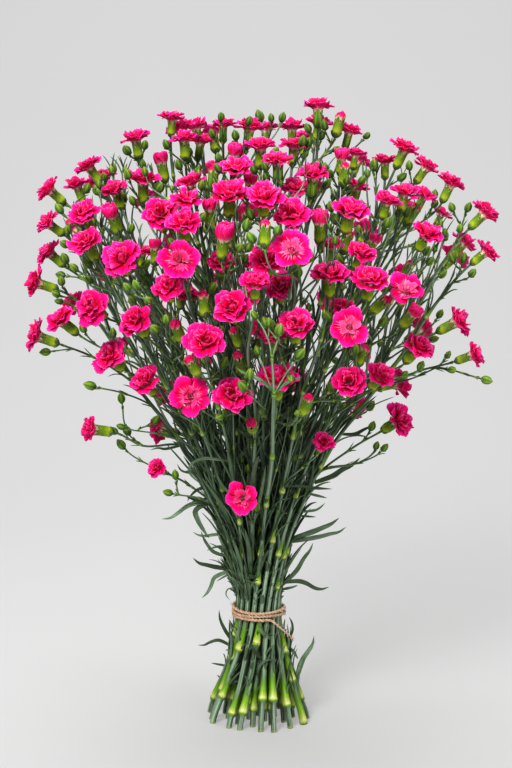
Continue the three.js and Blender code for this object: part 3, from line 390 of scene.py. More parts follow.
def back_heads():
    """The blooms that the front picture hides."""
    draw = random_stream(BACK_SEED)
    made = []
    for k in range(BACK_BLOOMS + CROWN_BLOOMS):
        crown = k >= BACK_BLOOMS
        around = math.radians(lerp(14, 166, (k * BACK_TURN + 0.31) % 1))
        r = lerp(50, 140, draw()) if crown else 0
        height = 634 - (r * r) / 480 if crown else lerp(285, 588, (k + 0.5) / BACK_BLOOMS)
        out = r if crown else head_radius(height) * lerp(0.9, 1, draw())
        place = np.array([out * math.cos(around), out * math.sin(around), height])
        focus = np.array([0, 0, lerp(250, 340, draw())])
        axis = unit(place - focus)
        line = place - EYE
        reach = line[1]
        made.append(Record(kind="open", size=lerp(0.75, 1.02, draw()), line=line / reach,
                           reach=reach, axis=axis, pixel=None))
    return made


def balls(head):
    """The rounds of space that a head fills."""
    middle = EYE + head.line * head.reach
    petals = (middle, PETAL_RADIUS[head.kind] * head.size * 0.93)
    calyx = (middle + head.axis * (-0.62 * HEAD_LENGTHS[head.kind]), 7)
    return [petals] if head.kind == "bud" else [petals, calyx]


def space_out(heads):
    """Slides heads along their sight lines, so that no two share a place."""
    for _ in range(60):
        held = [balls(head) for head in heads]
        centres = np.array([ball[0] for row in held for ball in row])
        radii = np.array([ball[1] for row in held for ball in row])
        owner = np.array([i for i, row in enumerate(held) for _ in row])
        apart = centres[None] - centres[:, None]
        need = radii[None] + radii[:, None]
        close = (np.einsum("ijk,ijk->ij", apart, apart) < need * need)
        push = [0.0] * len(heads)
        lacks = {}
        for a, b in zip(*np.nonzero(close)):
            i, j = owner[a], owner[b]
            if i >= j:
                continue
            gap = apart[a, b]
            along = gap @ heads[i].line
            aside = math.sqrt(max(0, gap @ gap - along * along))
            if length(gap) >= need[a, b] or aside >= need[a, b]:
                continue
            lack = math.sqrt(need[a, b] ** 2 - aside * aside) - abs(along)
            lacks[i, j] = max(lacks.get((i, j), 0), lack)
        for (i, j), lack in sorted(lacks.items()):
            if lack <= 0:
                continue
            sign = -1 if heads[i].reach <= heads[j].reach else 1
            push[i] += sign * min(lack, 12) / 4
            push[j] -= sign * min(lack, 12) / 4
        for head, move in zip(heads, push):
            head.reach += clamp(move, -5, 5)


def stem_sites():
    """Where the stems pass the tie, in rings round the middle one."""
    sites = [(0, 0)]
    for ring in range(1, RINGS + 1):
        for k in range(6 * ring):
            angle = 2 * math.pi * (k + 0.25 * ring) / (6 * ring)
            sites.append(((ring / RINGS) * math.cos(angle), (ring / RINGS) * math.sin(angle)))
    return sites


def share_out(heads, sites):
    """Gives each head to a stem near it, and no stem too many or too few."""
    cost = np.zeros(len(sites))
    for head in heads:
        head.place = section_place(head.foot)
    places = np.array([head.place for head in heads])
    spots = np.array(sites)
    weight = np.array([1 if head.kind == "open" else 0.6 for head in heads])
    away = (places[:, None, 0] - spots[None, :, 0]) ** 2 + (places[:, None, 1] - spots[None, :, 1]) ** 2
    for _ in range(400):
        choice = np.argmin(away + cost, axis=1)
        load = np.zeros(len(sites))
        for s, w in zip(choice, weight):
            load[s] += w
        cost += 0.006 * (np.maximum(0, load - MOST_HEADS) - np.maximum(0, FEWEST_HEADS - load))
    for head, s in zip(heads, choice):
        head.spray = int(s)


def bezier(p0, p1, p2, p3, t):
    s = 1 - t
    return p0 * (s * s * s) + p1 * (3 * s * s * t) + p2 * (3 * s * t * t) + p3 * (t * t * t)


class Surroundings:
    """What a stalk has to stay clear of: every head, and the rods of the other sprays."""

    def __init__(self, heads):
        self.heads = heads
        self.rods = []
        self.update_heads()
        self.update_rods()

    def update_heads(self):
        self.foot = np.array([h.foot for h in self.heads])
        self.axis = np.array([h.axis for h in self.heads])
        self.long = np.array([length(h.middle - h.foot) for h in self.heads])
        self.wide = np.array([h.wide for h in self.heads])
        self.order = {id(h): i for i, h in enumerate(self.heads)}

    def update_rods(self):
        if self.rods:
            self.p = np.array([rod[0] for rod in self.rods])
            self.d = np.array([rod[1] for rod in self.rods]) - self.p
            self.r = np.array([rod[2] for rod in self.rods])
            self.s = np.array([rod[3] for rod in self.rods])
            self.dd = np.einsum("ij,ij->i", self.d, self.d)

    def add_path(self, points, r, spray):
        self.rods += [(p, q, r, spray) for p, q in zip(points, points[1:])]
        self.update_rods()

    def clearance(self, points, r, spray, own):
        points = np.array(points)
        off = points[:, None] - self.foot[None]
        h = np.einsum("ijk,jk->ij", off, self.axis)
        out = np.sqrt(np.maximum(0, np.einsum("ijk,ijk->ij", off, off) - h * h))
        petals = np.hypot(np.maximum(0, np.abs(h - self.long) - 7), np.maximum(0, out - self.wide))
        calyx = np.hypot(np.maximum(0, np.abs(h - self.long / 2) - self.long / 2), np.maximum(0, out - 6))
        gap = np.minimum(petals, calyx)
        if id(own) in self.order:
            gap[:, self.order[id(own)]] = 99
        least = min(12, gap.min() - r)
        if self.rods:
            off = points[:, None] - self.p[None]
            t = np.clip(np.einsum("ijk,jk->ij", off, self.d) / self.dd, 0, 1)
            near = off - t[..., None] * self.d[None]
            gap = np.sqrt(np.einsum("ijk,ijk->ij", near, near)) - self.r
            gap[:, self.s == spray] = 99
            least = min(least, gap.min() - r)
        return least


def stalk_route(root, way, head, side):
    reach = length(head.foot - root)
    if reach < SHORT_STALK and side @ side == 0:
        return [root, head.foot]
    p1 = root + way * (reach * 0.4) + side
    p2 = head.foot + head.axis * (-reach * 0.36) + side
    return [root, bezier(root, p1, p2, head.foot, 0.55), head.foot]


def marks_on(route):
    """Places on a route, 8 millimetres apart at most."""
    points = []
    for p, q in zip(route, route[1:]):
        steps = math.ceil(length(q - p) / 8)
        points += [p + (q - p) * (k / steps) for k in range(1, steps + 1)]
    return points


BENDS = [(0, 0), (9, 0), (-9, 0), (0, 9), (0, -9), (18, 0), (-18, 0), (0, 18), (0, -18)]


def best_stalk(world, root, way, head, r, spray):
    """The bend of a stalk that keeps it clearest of the rest."""
    to_head = unit(head.foot - root)
    start = unit(way + to_head * 0.8)
    aside = np.cross(to_head, head.axis)
    if aside @ aside < 1e-4:
        aside = np.array([1.0, 0, 0])
    aside = unit(aside)
    outward = np.cross(aside, to_head)
    best = None
    for x, y in BENDS:
        route = stalk_route(root, start, head, aside * x + outward * y)
        gap = world.clearance(marks_on(route), r, spray, head)
        score = max(0, 2 - gap) * 40 + math.hypot(x, y) * 0.5
        if best is None or score < best.score:
            best = Record(score=score, gap=gap, route=route, start=start)
    return best


def trunk_path(site, top, node, drop):
    end = clamp(top.foot[2] - drop, 185, 440)
    heights = [z for z in (0, node, 97, WAIST_Z, 139, 200, 290) if -1 < z < end - 25] + [end]
    path = []
    for z in heights:
        t = ease(z, 130, 400)
        path.append(stem_point(lerp(site[0], top.place[0], t), lerp(site[1], top.place[1], t), z))
    return path


def budding(spray):
    spots = []
    trunk = spray.trunk
    first = next(i for i, p in enumerate(trunk) if p[2] > WAIST_Z + 10)
    for i in range(1 + first, len(trunk)):
        way = unit(trunk[i] - trunk[i - 1])
        for t in (0.3, 0.65, 1):
            spots.append(Record(root=trunk[i - 1] + (trunk[i] - trunk[i - 1]) * t, way=way, cost=0))
    for stalk in spray.stalks:
        if stalk.head.kind == "bud":
            continue
        for p, q in zip(stalk.route, stalk.route[1:]):
            for t in (0.2, 0.5, 0.8):
                spots.append(Record(root=p + (q - p) * t, way=unit(q - p), cost=4))
    return spots


def angle_between(a, b):
    return math.acos(clamp(a @ b / math.sqrt((a @ a) * (b @ b)), -1, 1))


def likely_spots(spray, head):
    """The four places on a spray that suit a head's stalk best."""
    spots = budding(spray)
    for spot in spots:
        to_head = head.foot - spot.root
        reach = length(to_head)
        turn = angle_between(to_head, spot.way) + 0.5 * angle_between(to_head, head.axis)
        crowding = (32 - reach) * 6 if reach < 32 else 0
        spot.score = reach + 60 * turn * turn + crowding + spot.cost
    return sorted(spots, key=lambda spot: spot.score)[:4]


def hang_on(world, sprays, spray, head):
    """Grows a head's stalk from its spray, or from a neighbour with more room."""
    def away(other):
        return math.hypot(head.place[0] - other.top.place[0], head.place[1] - other.top.place[1])

    near = sorted((other for other in sprays if other is not spray), key=away)
    r = BUD_STALK_R if head.kind == "bud" else STALK_R
    chosen = None
    for rank, other in enumerate([spray, *near[:4]]):
        for spot in likely_spots(other, head):
            best = best_stalk(world, spot.root, spot.way, head, r, other.s)
            score = best.score + 0.3 * spot.score + 15 * rank
            if chosen is None or score < chosen.score:
                chosen = Record(score=score, best=best, spray=other)
        if chosen.best.gap > 1:
            break
    best = chosen.best
    chosen.spray.stalks.append(Record(head=head, route=best.route, r=r, start=best.start))
    world.add_path(best.route, r, chosen.spray.s)


def sideways(way, angle):
    """A direction square to a stalk's way, turned round it by an angle from +X."""
    out = np.array([math.cos(angle), math.sin(angle), 0])
    return unit(out - way * (out @ way))


def green_bud(foot, axis, size, long):
    return Record(kind="bud", size=size, axis=axis, foot=foot, wide=5, middle=foot + axis * long)


def add_side_buds(world, heads, sprays):
    draw = random_stream(SIDE_BUD_SEED)
    for spray in sprays:
        for stalk in list(spray.stalks):
            if stalk.head.kind == "bud" or draw() > SIDE_BUD_SHARE:
                continue
            before, foot = stalk.route[-2:]
            way = unit(foot - before)
            root = foot + way * -min(24, 0.8 * length(foot - before))
            start = draw() * 2 * math.pi
            best = None
            for k in range(8):
                for reach in (30, 40, 50):
                    axis = unit(way + sideways(way, start + k * math.pi / 4) * 0.55)
                    end = root + axis * reach + way * 3
                    head = green_bud(end, axis, lerp(0.8, 1.05, draw()), 8)
                    tip = end + axis * 16
                    route = [root, end]
                    gap = min(
                        world.clearance([end, head.middle], 5, -1, head),
                        world.clearance([tip], 2, -1, head),
                        world.clearance(marks_on(route)[1:], BUD_STALK_R, spray.s, stalk.head),
                    )
                    score = gap - 0.05 * reach - max(0, tip[1]) * 0.01
                    if gap > 1 and (best is None or score > best.score):
                        best = Record(score=score, head=head, route=route, start=unit(way + axis))
            if best is None:
                continue
            heads.append(best.head)
            world.update_heads()
            spray.stalks.append(Record(head=best.head, route=best.route, r=BUD_STALK_R, start=best.start))
            world.add_path(best.route, BUD_STALK_R, spray.s)


def add_leaf(world, spray, root, tips, arch, width, behind):
    def route(tip):
        return lambda t: root + (tip - root) * t + np.array([0, 0, 4 * arch * t * (1 - t)])

    best = None
    for tip in tips:
        at = route(tip)
        gap = world.clearance([at(t) for t in (0.3, 0.5, 0.75, 1)], width / 2, spray.s, None)
        if best is None or gap > best[0] + 0.5:
            best = (gap, tip)
    if best[0] < 0.4:
        return
    at = route(best[1])
    if behind:
        spray.leaves.append(Record(at=at, width=width, length=length(best[1] - root)))
    for t in (0.3, 0.6):
        world.rods.append((at(t), at(t + 0.35), width / 2, spray.s))
    world.update_rods()


def add_leaves(world, sprays):
    for u0, v0, u1, v1, arch, width in LEAVES:
        found = None
        for spray in sprays:
            for p, q in zip(spray.trunk, spray.trunk[1:]):
                for k in range(25):
                    point = p + (q - p) * (k * 0.04)
                    u, v = pixel_of(point)
                    miss = math.hypot(u - u0, v - v0)
                    score = miss * 3 + point[1] * 0.5
                    if miss < 9 and (found is None or score < found[0]):
                        found = (score, spray, point)
        if found is None:
            continue
        line = sight_line(u1, v1)
        reach = (found[2][1] - EYE[1]) / line[1]
        tips = [EYE + line * (reach + d) for d in (-6, 6, -16, 16)]
        add_leaf(world, found[1], found[2], tips, arch, width, False)
    draw = random_stream(LEAF_SEED)
    for k in range(BACK_LEAVES):
        spray = sprays[19 + ((k * 5 + 2) % 9)]
        i = 1 + k % 2 + next(n for n, p in enumerate(spray.trunk) if p[2] > WAIST_Z + 10)
        root = spray.trunk[i - 1] + (spray.trunk[i] - spray.trunk[i - 1]) * draw()
        out = math.atan2(root[1], root[0])
        tips = []
        for turn in (0, 0.5, -0.5, 0.9):
            reach = lerp(28, 42, draw())
            rise = lerp(-10, 24, draw())
            tips.append(root + np.array([reach * math.cos(out + turn), reach * math.sin(out + turn), rise]))
        add_leaf(world, spray, root, tips, 8, 5, True)


def grow_layout():
    """Works out where every stem, stalk, leaf and head lies, in millimetres."""
    heads = [*read_heads(OPEN_BLOOMS, "open"), *read_heads(CUPS, "cup"), *read_heads(TIPS, "tip"),
             *read_heads(LONE_BUDS, "bud"), *back_heads()]
    space_out(heads)
    for head in heads:
        head.middle = EYE + head.line * head.reach
        head.foot = head.middle + head.axis * (-HEAD_LENGTHS[head.kind] * min(1, head.size))
        head.wide = PETAL_RADIUS[head.kind] * head.size
    sites = stem_sites()
    share_out(heads, sites)
    world = Surroundings(heads)
    growth = random_stream(GROWTH_SEED)
    sprays = []
    for s, site in enumerate(sites):
        own = sorted((h for h in heads if h.spray == s), key=lambda h: -h.foot[2])
        top = next((h for h in own if h.kind == "open"), own[0])
        node = -1 if s < INNER_STEMS else lerp(18, 62, growth())
        best = None
        for drop in (100, 120, 80, 140, 160, 60):
            trunk = trunk_path(site, top, node, drop)
            way = unit(trunk[-1] - trunk[-2])
            stalk = best_stalk(world, trunk[-1], way, top, STEM_TOP_R, s)
            gap = min(stalk.gap, world.clearance(marks_on(trunk[-2:]), STEM_TOP_R, s, top))
            score = stalk.score + max(0, 2 - gap) * 40
            if best is None or score < best.score - 1:
                best = Record(score=score, trunk=trunk, stalk=stalk)
        world.add_path(best.trunk, STEM_TOP_R + 0.6, s)
        world.add_path(best.stalk.route, STEM_TOP_R, s)
        first = Record(head=top, route=best.stalk.route, r=STALK_R, start=best.stalk.start)
        sprays.append(Record(s=s, top=top, trunk=best.trunk, others=[h for h in own if h is not top],
                             stalks=[first], leaves=[], site=site))
    for turn in range(12):
        for spray in sprays:
            if turn < len(spray.others):
                hang_on(world, sprays, spray, spray.others[turn])
    add_side_buds(world, heads, sprays)
    add_leaves(world, sprays)
    return world, sprays


def add_small_buds(world, sprays):
    """Hangs the small green buds: those seen in the front picture, and as many behind."""
    roots, ways, owners = [], [], []
    for spray in sprays:
        routes = [spray.trunk[4:], *(stalk.route for stalk in spray.stalks)]
        for route in routes:
            for p, q in zip(route, route[1:]):
                for t in np.arange(0.04, 1, 8 / max(8, length(q - p))):
                    roots.append(p + (q - p) * t)
                    ways.append(unit(q - p))
                    owners.append(spray)
    roots, ways = np.array(roots), np.array(ways)
    seen = np.array([pixel_of(p) for p in roots])
    for u, v in SMALL_BUDS:
        away = np.hypot(seen[:, 0] - u, seen[:, 1] - v)
        level = seen[:, 1] - v
        score = np.abs(away - 22) * 0.7 + 0.14 * roots[:, 1]
        score += np.where(level < 12, 30, 0) + np.where(away < 11, 40, 0)
        i = int(np.argmin(score))
        if away[i] > 60:
            continue
        line = sight_line(u, v)
        straight = (roots[i][1] - EYE[1]) / line[1]
        best = None
        for d in (-2, -8, 5, -14, -20, 12, -28):
            middle = EYE + line * (straight + d)
            axis = unit(unit(middle - roots[i]) + np.array([0, 0, 0.5]))
            head = Record(kind="bud", size=0.86 + 0.2 * ((u * 7 + v * 3) % 10) / 10, axis=axis, wide=5,
                          foot=middle - axis * 7.5, middle=middle)
            gap = bud_room(world, head, middle + axis * 7)
            gap -= 0.02 * abs(d) + max(0, BUD_REACH_Y - middle[1])
            if best is None or gap > best[0] + 0.2:
                best = (gap, head)
            if gap > 0.5:
                break
        head = best[1]
        start = unit(ways[i] + unit(head.foot - roots[i]))
        hang_small(world, owners[i], head, [roots[i], head.foot], start)
    draw = random_stream(BACK_BUD_SEED)
    for spray in sprays:
        for stalk in list(spray.stalks):
            if stalk.head.kind in ("bud", "tip") or stalk.head.middle[1] < -60 or draw() > BACK_BUD_SHARE:
                continue
            add_back_bud(world, spray, stalk, draw)


def add_back_bud(world, spray, stalk, draw):
    before, foot = stalk.route[-2:]
    way = unit(foot - before)
    root = foot - way * min(lerp(14, 30, draw()), 0.85 * length(foot - before))
    start = draw() * 2 * math.pi
    for k in range(6):
        axis = unit(way + sideways(way, start + k * math.pi / 3) * 0.6)
        end = root + axis * lerp(14, 24, draw())
        head = green_bud(end, axis, lerp(0.8, 1.05, draw()), 8)
        if bud_room(world, head, end + axis * 15) > 0.3:
            hang_small(world, spray, head, [root, end], unit(way + axis))
            return


def bud_room(world, head, tip):
    """How far a small bud stays clear of all else."""
    return min(world.clearance([head.foot, head.middle], 4.5, -1, head),
               world.clearance([tip], 2, -1, head))


def hang_small(world, spray, head, route, start):
    spray.stalks.append(Record(head=head, route=route, r=PEDICEL_R, start=start))
    world.heads.append(head)
    world.update_heads()
    world.add_path(route, PEDICEL_R, spray.s)


def read_stems(sprays):
    """Finds on the stems the joints and leaves that the front picture shows."""
    owners, points = [], []
    for spray in sprays:
        spray.joints, spray.blades, spray.front_root = [], [], None
        for p, q in zip(spray.trunk, spray.trunk[1:]):
            points += [p + (q - p) * t for t in np.linspace(0, 1, 24)]
            owners += [spray] * 24
    points = np.array(points)
    u, v = pixel_of(points)
    taken = np.zeros(len(points))
    for a, b in PICTURE_JOINTS:
        score = 3 * np.maximum(0, np.abs(u - a) - 3) + 2 * np.abs(v - b) + 0.6 * points[:, 1] + taken
        i = int(np.argmin(score))
        owners[i].joints.append(points[i, 2])
        same = np.array([owner is owners[i] for owner in owners])
        taken += np.where(same & (np.abs(points[:, 2] - points[i, 2]) < 25), 40, 0)
    for width, *row in PICTURE_LEAVES:
        pixels = list(zip(row[::2], row[1::2]))
        away = np.hypot(u - pixels[0][0], v - pixels[0][1])
        root = int(np.argmin(3 * away + 0.25 * points[:, 1]))
        places = [points[root]]
        depth = points[root, 1]
        for a, b in pixels[1:]:
            near = np.hypot(u - a, v - b) < 5
            front = points[near, 1].min() - 5 if near.any() else depth - 1
            depth = clamp(front, depth - 9, depth + 3)
            places.append(at_depth(a, b, depth))
        owners[root].blades.append((places, width))
    root = int(np.argmin(np.hypot(u - FRONT_SHOOT[0][2], v - FRONT_SHOOT[0][3]) + 0.5 * points[:, 1]))
    owners[root].front_root = points[root]


@functools.cache
def layout():
    """The grown layout, worked out once for all the operators."""
    world, sprays = grow_layout()
    add_small_buds(world, sprays)
    read_stems(sprays)
    return sprays


# ---- Curves and frames ----
def ease(x, low=0.0, high=1.0):
    t = np.clip((x - low) / (high - low), 0, 1)
    return t * t * (3 - 2 * t)


def rows_unit(v):
    return v / np.maximum(np.linalg.norm(v, axis=-1, keepdims=True), 1e-9)


def smooth_curve(points, first=None, last=None, step=3.0):
    """Places about a step apart on a curve through points that has the given directions at its ends."""
    points = np.array(points)
    ways = np.empty_like(points)
    ways[1:-1] = rows_unit(points[2:] - points[:-2])
    ways[0] = rows_unit(points[1] - points[0]) if first is None else first
    ways[-1] = rows_unit(points[-1] - points[-2]) if last is None else last
    rows = [points[:1]]
    for p, q, a, b in zip(points, points[1:], ways, ways[1:]):
        chord = length(q - p)
        t = np.linspace(0, 1, max(2, math.ceil(chord / step) + 1))[1:, None]
        rows.append(
            p * (2 * t**3 - 3 * t**2 + 1)
            + a * chord * (t**3 - 2 * t**2 + t)
            + q * (3 * t**2 - 2 * t**3)
            + b * chord * (t**3 - t**2)
        )
    return np.concatenate(rows)


def arc_length(path):
    return np.concatenate([[0], np.cumsum(np.linalg.norm(np.diff(path, axis=0), axis=1))])


def frames(path, hint, foot=None):
    """The way at each place on a path, and two directions across it that turn as little as can be."""
    ways = rows_unit(np.gradient(path, axis=0))
    if foot is not None:
        ways[0] = foot
    across = np.array(hint, float)
    rows = []
    for way in ways:
        across = across - way * (across @ way)
        if across @ across < 1e-6:
            across = np.cross(way, [0.3, 1, 0.2])
        across = unit(across)
        rows.append(across)
    x = np.array(rows)
    return ways, x, np.cross(ways, x)


# ---- Skins ----
def show(name, data):
    """Makes an object and puts it in the scene."""
    made = bpy.data.objects.new(name, data)
    bpy.context.scene.collection.objects.link(made)
    return made


class Body:
    """Points and faces of one piece, gathered as closed skins.

    Each point carries two notes for the finishes: grain, its place on its own stem, blade or petal,
    and part, what that stem, blade or petal is like there.
    """

    def __init__(self):
        self.points, self.grain, self.part = [], [], []
        self.quads, self.quad_looks, self.tris, self.tri_looks = [], [], [], []
        self.count = 0

    def add(self, rings, grain, part, look, sheet=False, end_look=None):
        """Adds one closed skin: rings of points, closed at its ends by fans, or by strips on a sheet."""
        n, m, _ = rings.shape
        at = self.count + np.arange(n * m).reshape(n, m)
        on = np.roll(at, -1, axis=1)
        quads = [np.stack([at[:-1], on[:-1], on[1:], at[1:]], -1).reshape(-1, 4)]
        tris = []
        rows = [rings, np.broadcast_to(grain, rings.shape), np.broadcast_to(part, rings.shape)]
        flat = [row.reshape(-1, 3) for row in rows]
        self.count += n * m
        for i, order in ((0, slice(None, None, -1)), (n - 1, slice(None))):
            ring = at[i]
            if sheet:
                turn = m // 2
                a = np.arange(1, turn - 1)
                strip = [ring[a], ring[a + 1], ring[m - a - 1], ring[m - a]]
                quads.append(np.stack(strip[order], -1))
                tris += [ring[[0, 1, m - 1]][order][None], ring[[turn - 1, turn, turn + 1]][order][None]]
            else:
                flat = [np.concatenate([have, row[i].mean(axis=0)[None]]) for have, row in zip(flat, rows)]
                tris.append(np.stack([ring, on[i], np.full(m, self.count)][order], -1))
                self.count += 1
        quads, tris = np.concatenate(quads), np.concatenate(tris)
        if volume(flat[0], quads - at[0, 0], tris - at[0, 0]) < 0:
            quads, tris = quads[:, ::-1], tris[:, ::-1]
        self.points.append(flat[0])
        self.grain.append(flat[1])
        self.part.append(flat[2])
        self.quads.append(quads)
        self.quad_looks.append(np.full(len(quads), look))
        self.tris.append(tris)
        looks = np.full(len(tris), look)
        if end_look is not None:
            looks[: len(tris) // 2] = end_look
        self.tri_looks.append(looks)

    def build(self, name, finishes):
        """The piece as an object with its finishes, in metres."""
        places = (np.concatenate(self.points) + np.array([*SHIFT, 0])) / 1000
        quads, tris = np.concatenate(self.quads), np.concatenate(self.tris)
        mesh = bpy.data.meshes.new(name)
        mesh.vertices.add(len(places))
        mesh.vertices.foreach_set("co", places.astype(np.float32).ravel())
        corners = np.concatenate([quads.ravel(), tris.ravel()])
        mesh.loops.add(len(corners))
        mesh.loops.foreach_set("vertex_index", corners.astype(np.int32))
        mesh.polygons.add(len(quads) + len(tris))
        starts = np.concatenate([np.arange(len(quads)) * 4, len(quads) * 4 + np.arange(len(tris)) * 3])
        mesh.polygons.foreach_set("loop_start", starts.astype(np.int32))
        looks = np.concatenate([*self.quad_looks, *self.tri_looks]).astype(np.int32)
        mesh.polygons.foreach_set("material_index", looks)
        for key, rows in (("grain", self.grain), ("part", self.part)):
            note = mesh.attributes.new(key, "FLOAT_VECTOR", "POINT")
            note.data.foreach_set("vector", np.concatenate(rows).astype(np.float32).ravel())
        for finish in finishes:
            mesh.materials.append(finish)
        mesh.update(calc_edges=True)
        mesh.shade_smooth()
        return show(name, mesh)


def volume(places, quads, tris):
    """Six times the volume inside faces, below 0 where they face inwards."""
    faces = np.concatenate([quads[:, :3], quads[:, [0, 2, 3]], tris])
    a, b, c = (places[faces[:, k]] for k in range(3))
    return np.einsum("ij,ij->i", a, np.cross(b, c)).sum()


def together(*rows):
    """Three numbers for each point, each given for all points, for a ring, for a row or for one."""
    return np.stack(np.broadcast_arrays(*rows), -1)


def angles(sides):
    return np.arange(sides) * 2 * math.pi / sides


def ringed(centres, x, y, radii, sides):
    """Rings of points round centres. Returns them with their angles' cosines and sines."""
    c, s = np.cos(angles(sides)), np.sin(angles(sides))
    spokes = x[:, None] * c[None, :, None] + y[:, None] * s[None, :, None]
    return centres[:, None] + spokes * radii[:, None, None], c, s


STEM, LEAF, CALYX, CUT = range(4)  # places in the list of green finishes
SLIM = 0.86  # share of the solids' thickness between the joints of a stem
STALK_SLIM = 0.8  # and of a stalk
FOOT_STRAY = 3  # millimetres by which an outer stem's cut end is off its even place
FOOT_SPREAD = 3.5  # millimetres by which it stands further out


# ---- Stems and stalks ----
def stem(body, path, radii, joints, sides, tone, hint, foot=None, slant=0.0):
    """A jointed stem: at each joint it swells into a drop, and a pale sheath wraps it for a while above."""
    along = arc_length(path)
    rise = np.full(len(path), 1.0)
    wide = np.array(radii, float)
    base = wide.copy()
    for joint, sheath, swell in joints:
        up = along - joint
        under = 1.55 * base
        rise = np.minimum(rise, np.where(up >= 0, 0.04 + up / sheath, -up / under))
        drop = np.where(up >= 0, np.exp(-up / (0.36 * sheath)), np.sqrt(np.clip(1 - (up / under) ** 2, 0, 1)))
        wide += base * swell * drop
    ways, x, y = frames(path, hint, foot)
    rings, c, s = ringed(path, x, y, wide, sides)
    if foot is not None:
        rings[:2, :, 2] = np.maximum(0, rings[:2, :, 2]) + slant * (wide[:2, None] + wide[:2, None] * c[None])
        rings[..., 2] = np.maximum(0, rings[..., 2])
    # c and s run round the stem from the hint side; the stem finish paints a highlight on that side and shade
    # on the other.
    grain = together(c[None], s[None], along[:, None] / 10 + 37 * tone)
    part = together(np.clip(rise, 0, 1)[:, None], path[:, 2:3] / 650, tone)
    body.add(rings, grain, part, STEM, end_look=CUT if foot is not None else None)
    return Record(path=path, along=along, joints=joints, radii=radii, ways=ways, x=x, y=y)


def leaf(body, path, width, hint, tone, keel=0.35, thick=0.5, fine=True, age=0.0):
    """A narrow grooved blade along a path, widest before its middle and drawn out to a point."""
    n = len(path)
    v = np.linspace(0, 1, n)
    share = np.interp(v, [0, 0.12, 0.4, 0.75, 0.93, 1], [0.62, 0.8, 1, 0.72, 0.3, 0.05])
    _, up, side = frames(path, hint)
    u = np.array([1, 0.5, 0, -0.5, -1]) if fine else np.array([1, 0, -1])
    half = (width / 2 * share)[:, None]
    lift = keel * half * np.abs(u)[None] ** 1.3
    front = path[:, None] + side[:, None] * (half * u[None])[..., None] + up[:, None] * lift[..., None]
    depth = (thick * np.minimum(1, 2.5 * share)[:, None] * (1.25 - 0.6 * np.abs(u[None])))[..., None]
    back = front - up[:, None] * depth
    rings = np.concatenate([front, back[:, -2:0:-1]], axis=1)
    us = np.concatenate([u, u[-2:0:-1]])
    grain = together(us[None], arc_length(path)[:, None] / 10 + 31 * tone, tone)
    under = np.arange(len(us)) >= len(u)
    body.add(rings, grain, together(v[:, None], 1.0 * under[None], age), LEAF, sheet=True)


def arching(root, way, out, reach, spread, droop, twist, n):
    """The midline of a blade that leaves a stem along way and arches outwards."""
    t = np.linspace(0, 1, n)
    side = np.cross(way, out)
    angle = np.radians(lerp(16, spread, ease(t)) + droop * t**3)
    steps = np.cos(angle)[:, None] * way + np.sin(angle)[:, None] * out + (twist * t)[:, None] * side
    steps = rows_unit(steps) * reach / (n - 1)
    return root + np.concatenate([np.zeros((1, 3)), np.cumsum(steps[:-1], axis=0)])


# ---- Heads ----
def stand(head, hint):
    """The axes of a head: two across it and its own."""
    x = hint - head.axis * (hint @ head.axis)
    x = np.cross(head.axis, [0.2, 1, 0.1]) if x @ x < 1e-6 else x
    x = unit(x)
    return np.stack([x, np.cross(head.axis, x), head.axis])


CALYX_HEIGHTS = (0, 0.8, 2.2, 4.5, 8, 12, 16, 19, 23)
CALYX_RADII = (1.5, 2.9, 4.1, 5.0, 5.45, 5.35, 5.25, 5.6, 6.5)
TEETH = 5


def calyx(body, head, axes, tone):
    """The green tube that holds the petals, with five pointed teeth and four scales at its foot."""
    c = min(1, head.size)
    sides = 30
    slim = 0.94 if head.kind == "tip" else 1
    angle = angles(sides)
    tooth = 1 - np.abs((angle * TEETH / (2 * math.pi)) % 1 * 2 - 1)
    rim = (14.9 + 7.5 * tooth**0.85) * c
    t = np.concatenate([np.linspace(0, 1, 13) ** 0.9, [0.985, 0.86, 0.7]])
    inner = np.arange(len(t)) > 12
    z = t[:, None] * rim[None]
    r = np.interp(z / c, CALYX_HEIGHTS, CALYX_RADII) * c * slim * (1 + 0.018 * np.cos(TEETH * angle))
    r = r - np.where(inner, 0.55, 0)[:, None]
    r[-1] *= 0.5
    local = np.stack([r * np.cos(angle), r * np.sin(angle), z], -1)
    grain = together(np.cos(angle)[None], np.sin(angle)[None], z / 10 + 13 * tone)
    part = together(z / (22.4 * c), np.where(inner, 1, t)[:, None], tone)
    body.add(head.foot + local @ axes, grain, part, CALYX)
    outline = (CALYX_HEIGHTS, slim * np.array(CALYX_RADII))
    for k in range(4):
        height = -0.6 + (5.2 + 1.8 * (k % 2)) * np.linspace(0, 1, 6)
        scale(body, head, axes, tone * 6 + k * math.pi / 2, c, outline, height, 0.25, 1.3, 5.4,
              tone=tone + 0.1 * k, keel=0.55, thick=0.35, age=0.35)


def scale(body, head, axes, turn, size, outline, height, gap, foot, width, **looks):
    """A small pointed scale that hugs the foot of a calyx or a bud."""
    out = (np.interp(height, *outline) + gap + np.linspace(0, 0.5, len(height))) * size
    out[0] = foot
    c, s = math.cos(turn), math.sin(turn)
    path = head.foot + together(out * c, out * s, height * size) @ axes
    leaf(body, path, width * size, np.array([-c, -s, 0.2]) @ axes, **looks)


BUD_HEIGHTS = (0, 0.45, 1.4, 3.0, 5.3, 7.6, 9.7, 11.5, 12.9, 13.8)
BUD_RADII = (1.1, 2.1, 3.2, 4.25, 4.85, 4.6, 3.8, 2.5, 1.2, 0.3)
BUD_SCALE = 0.86


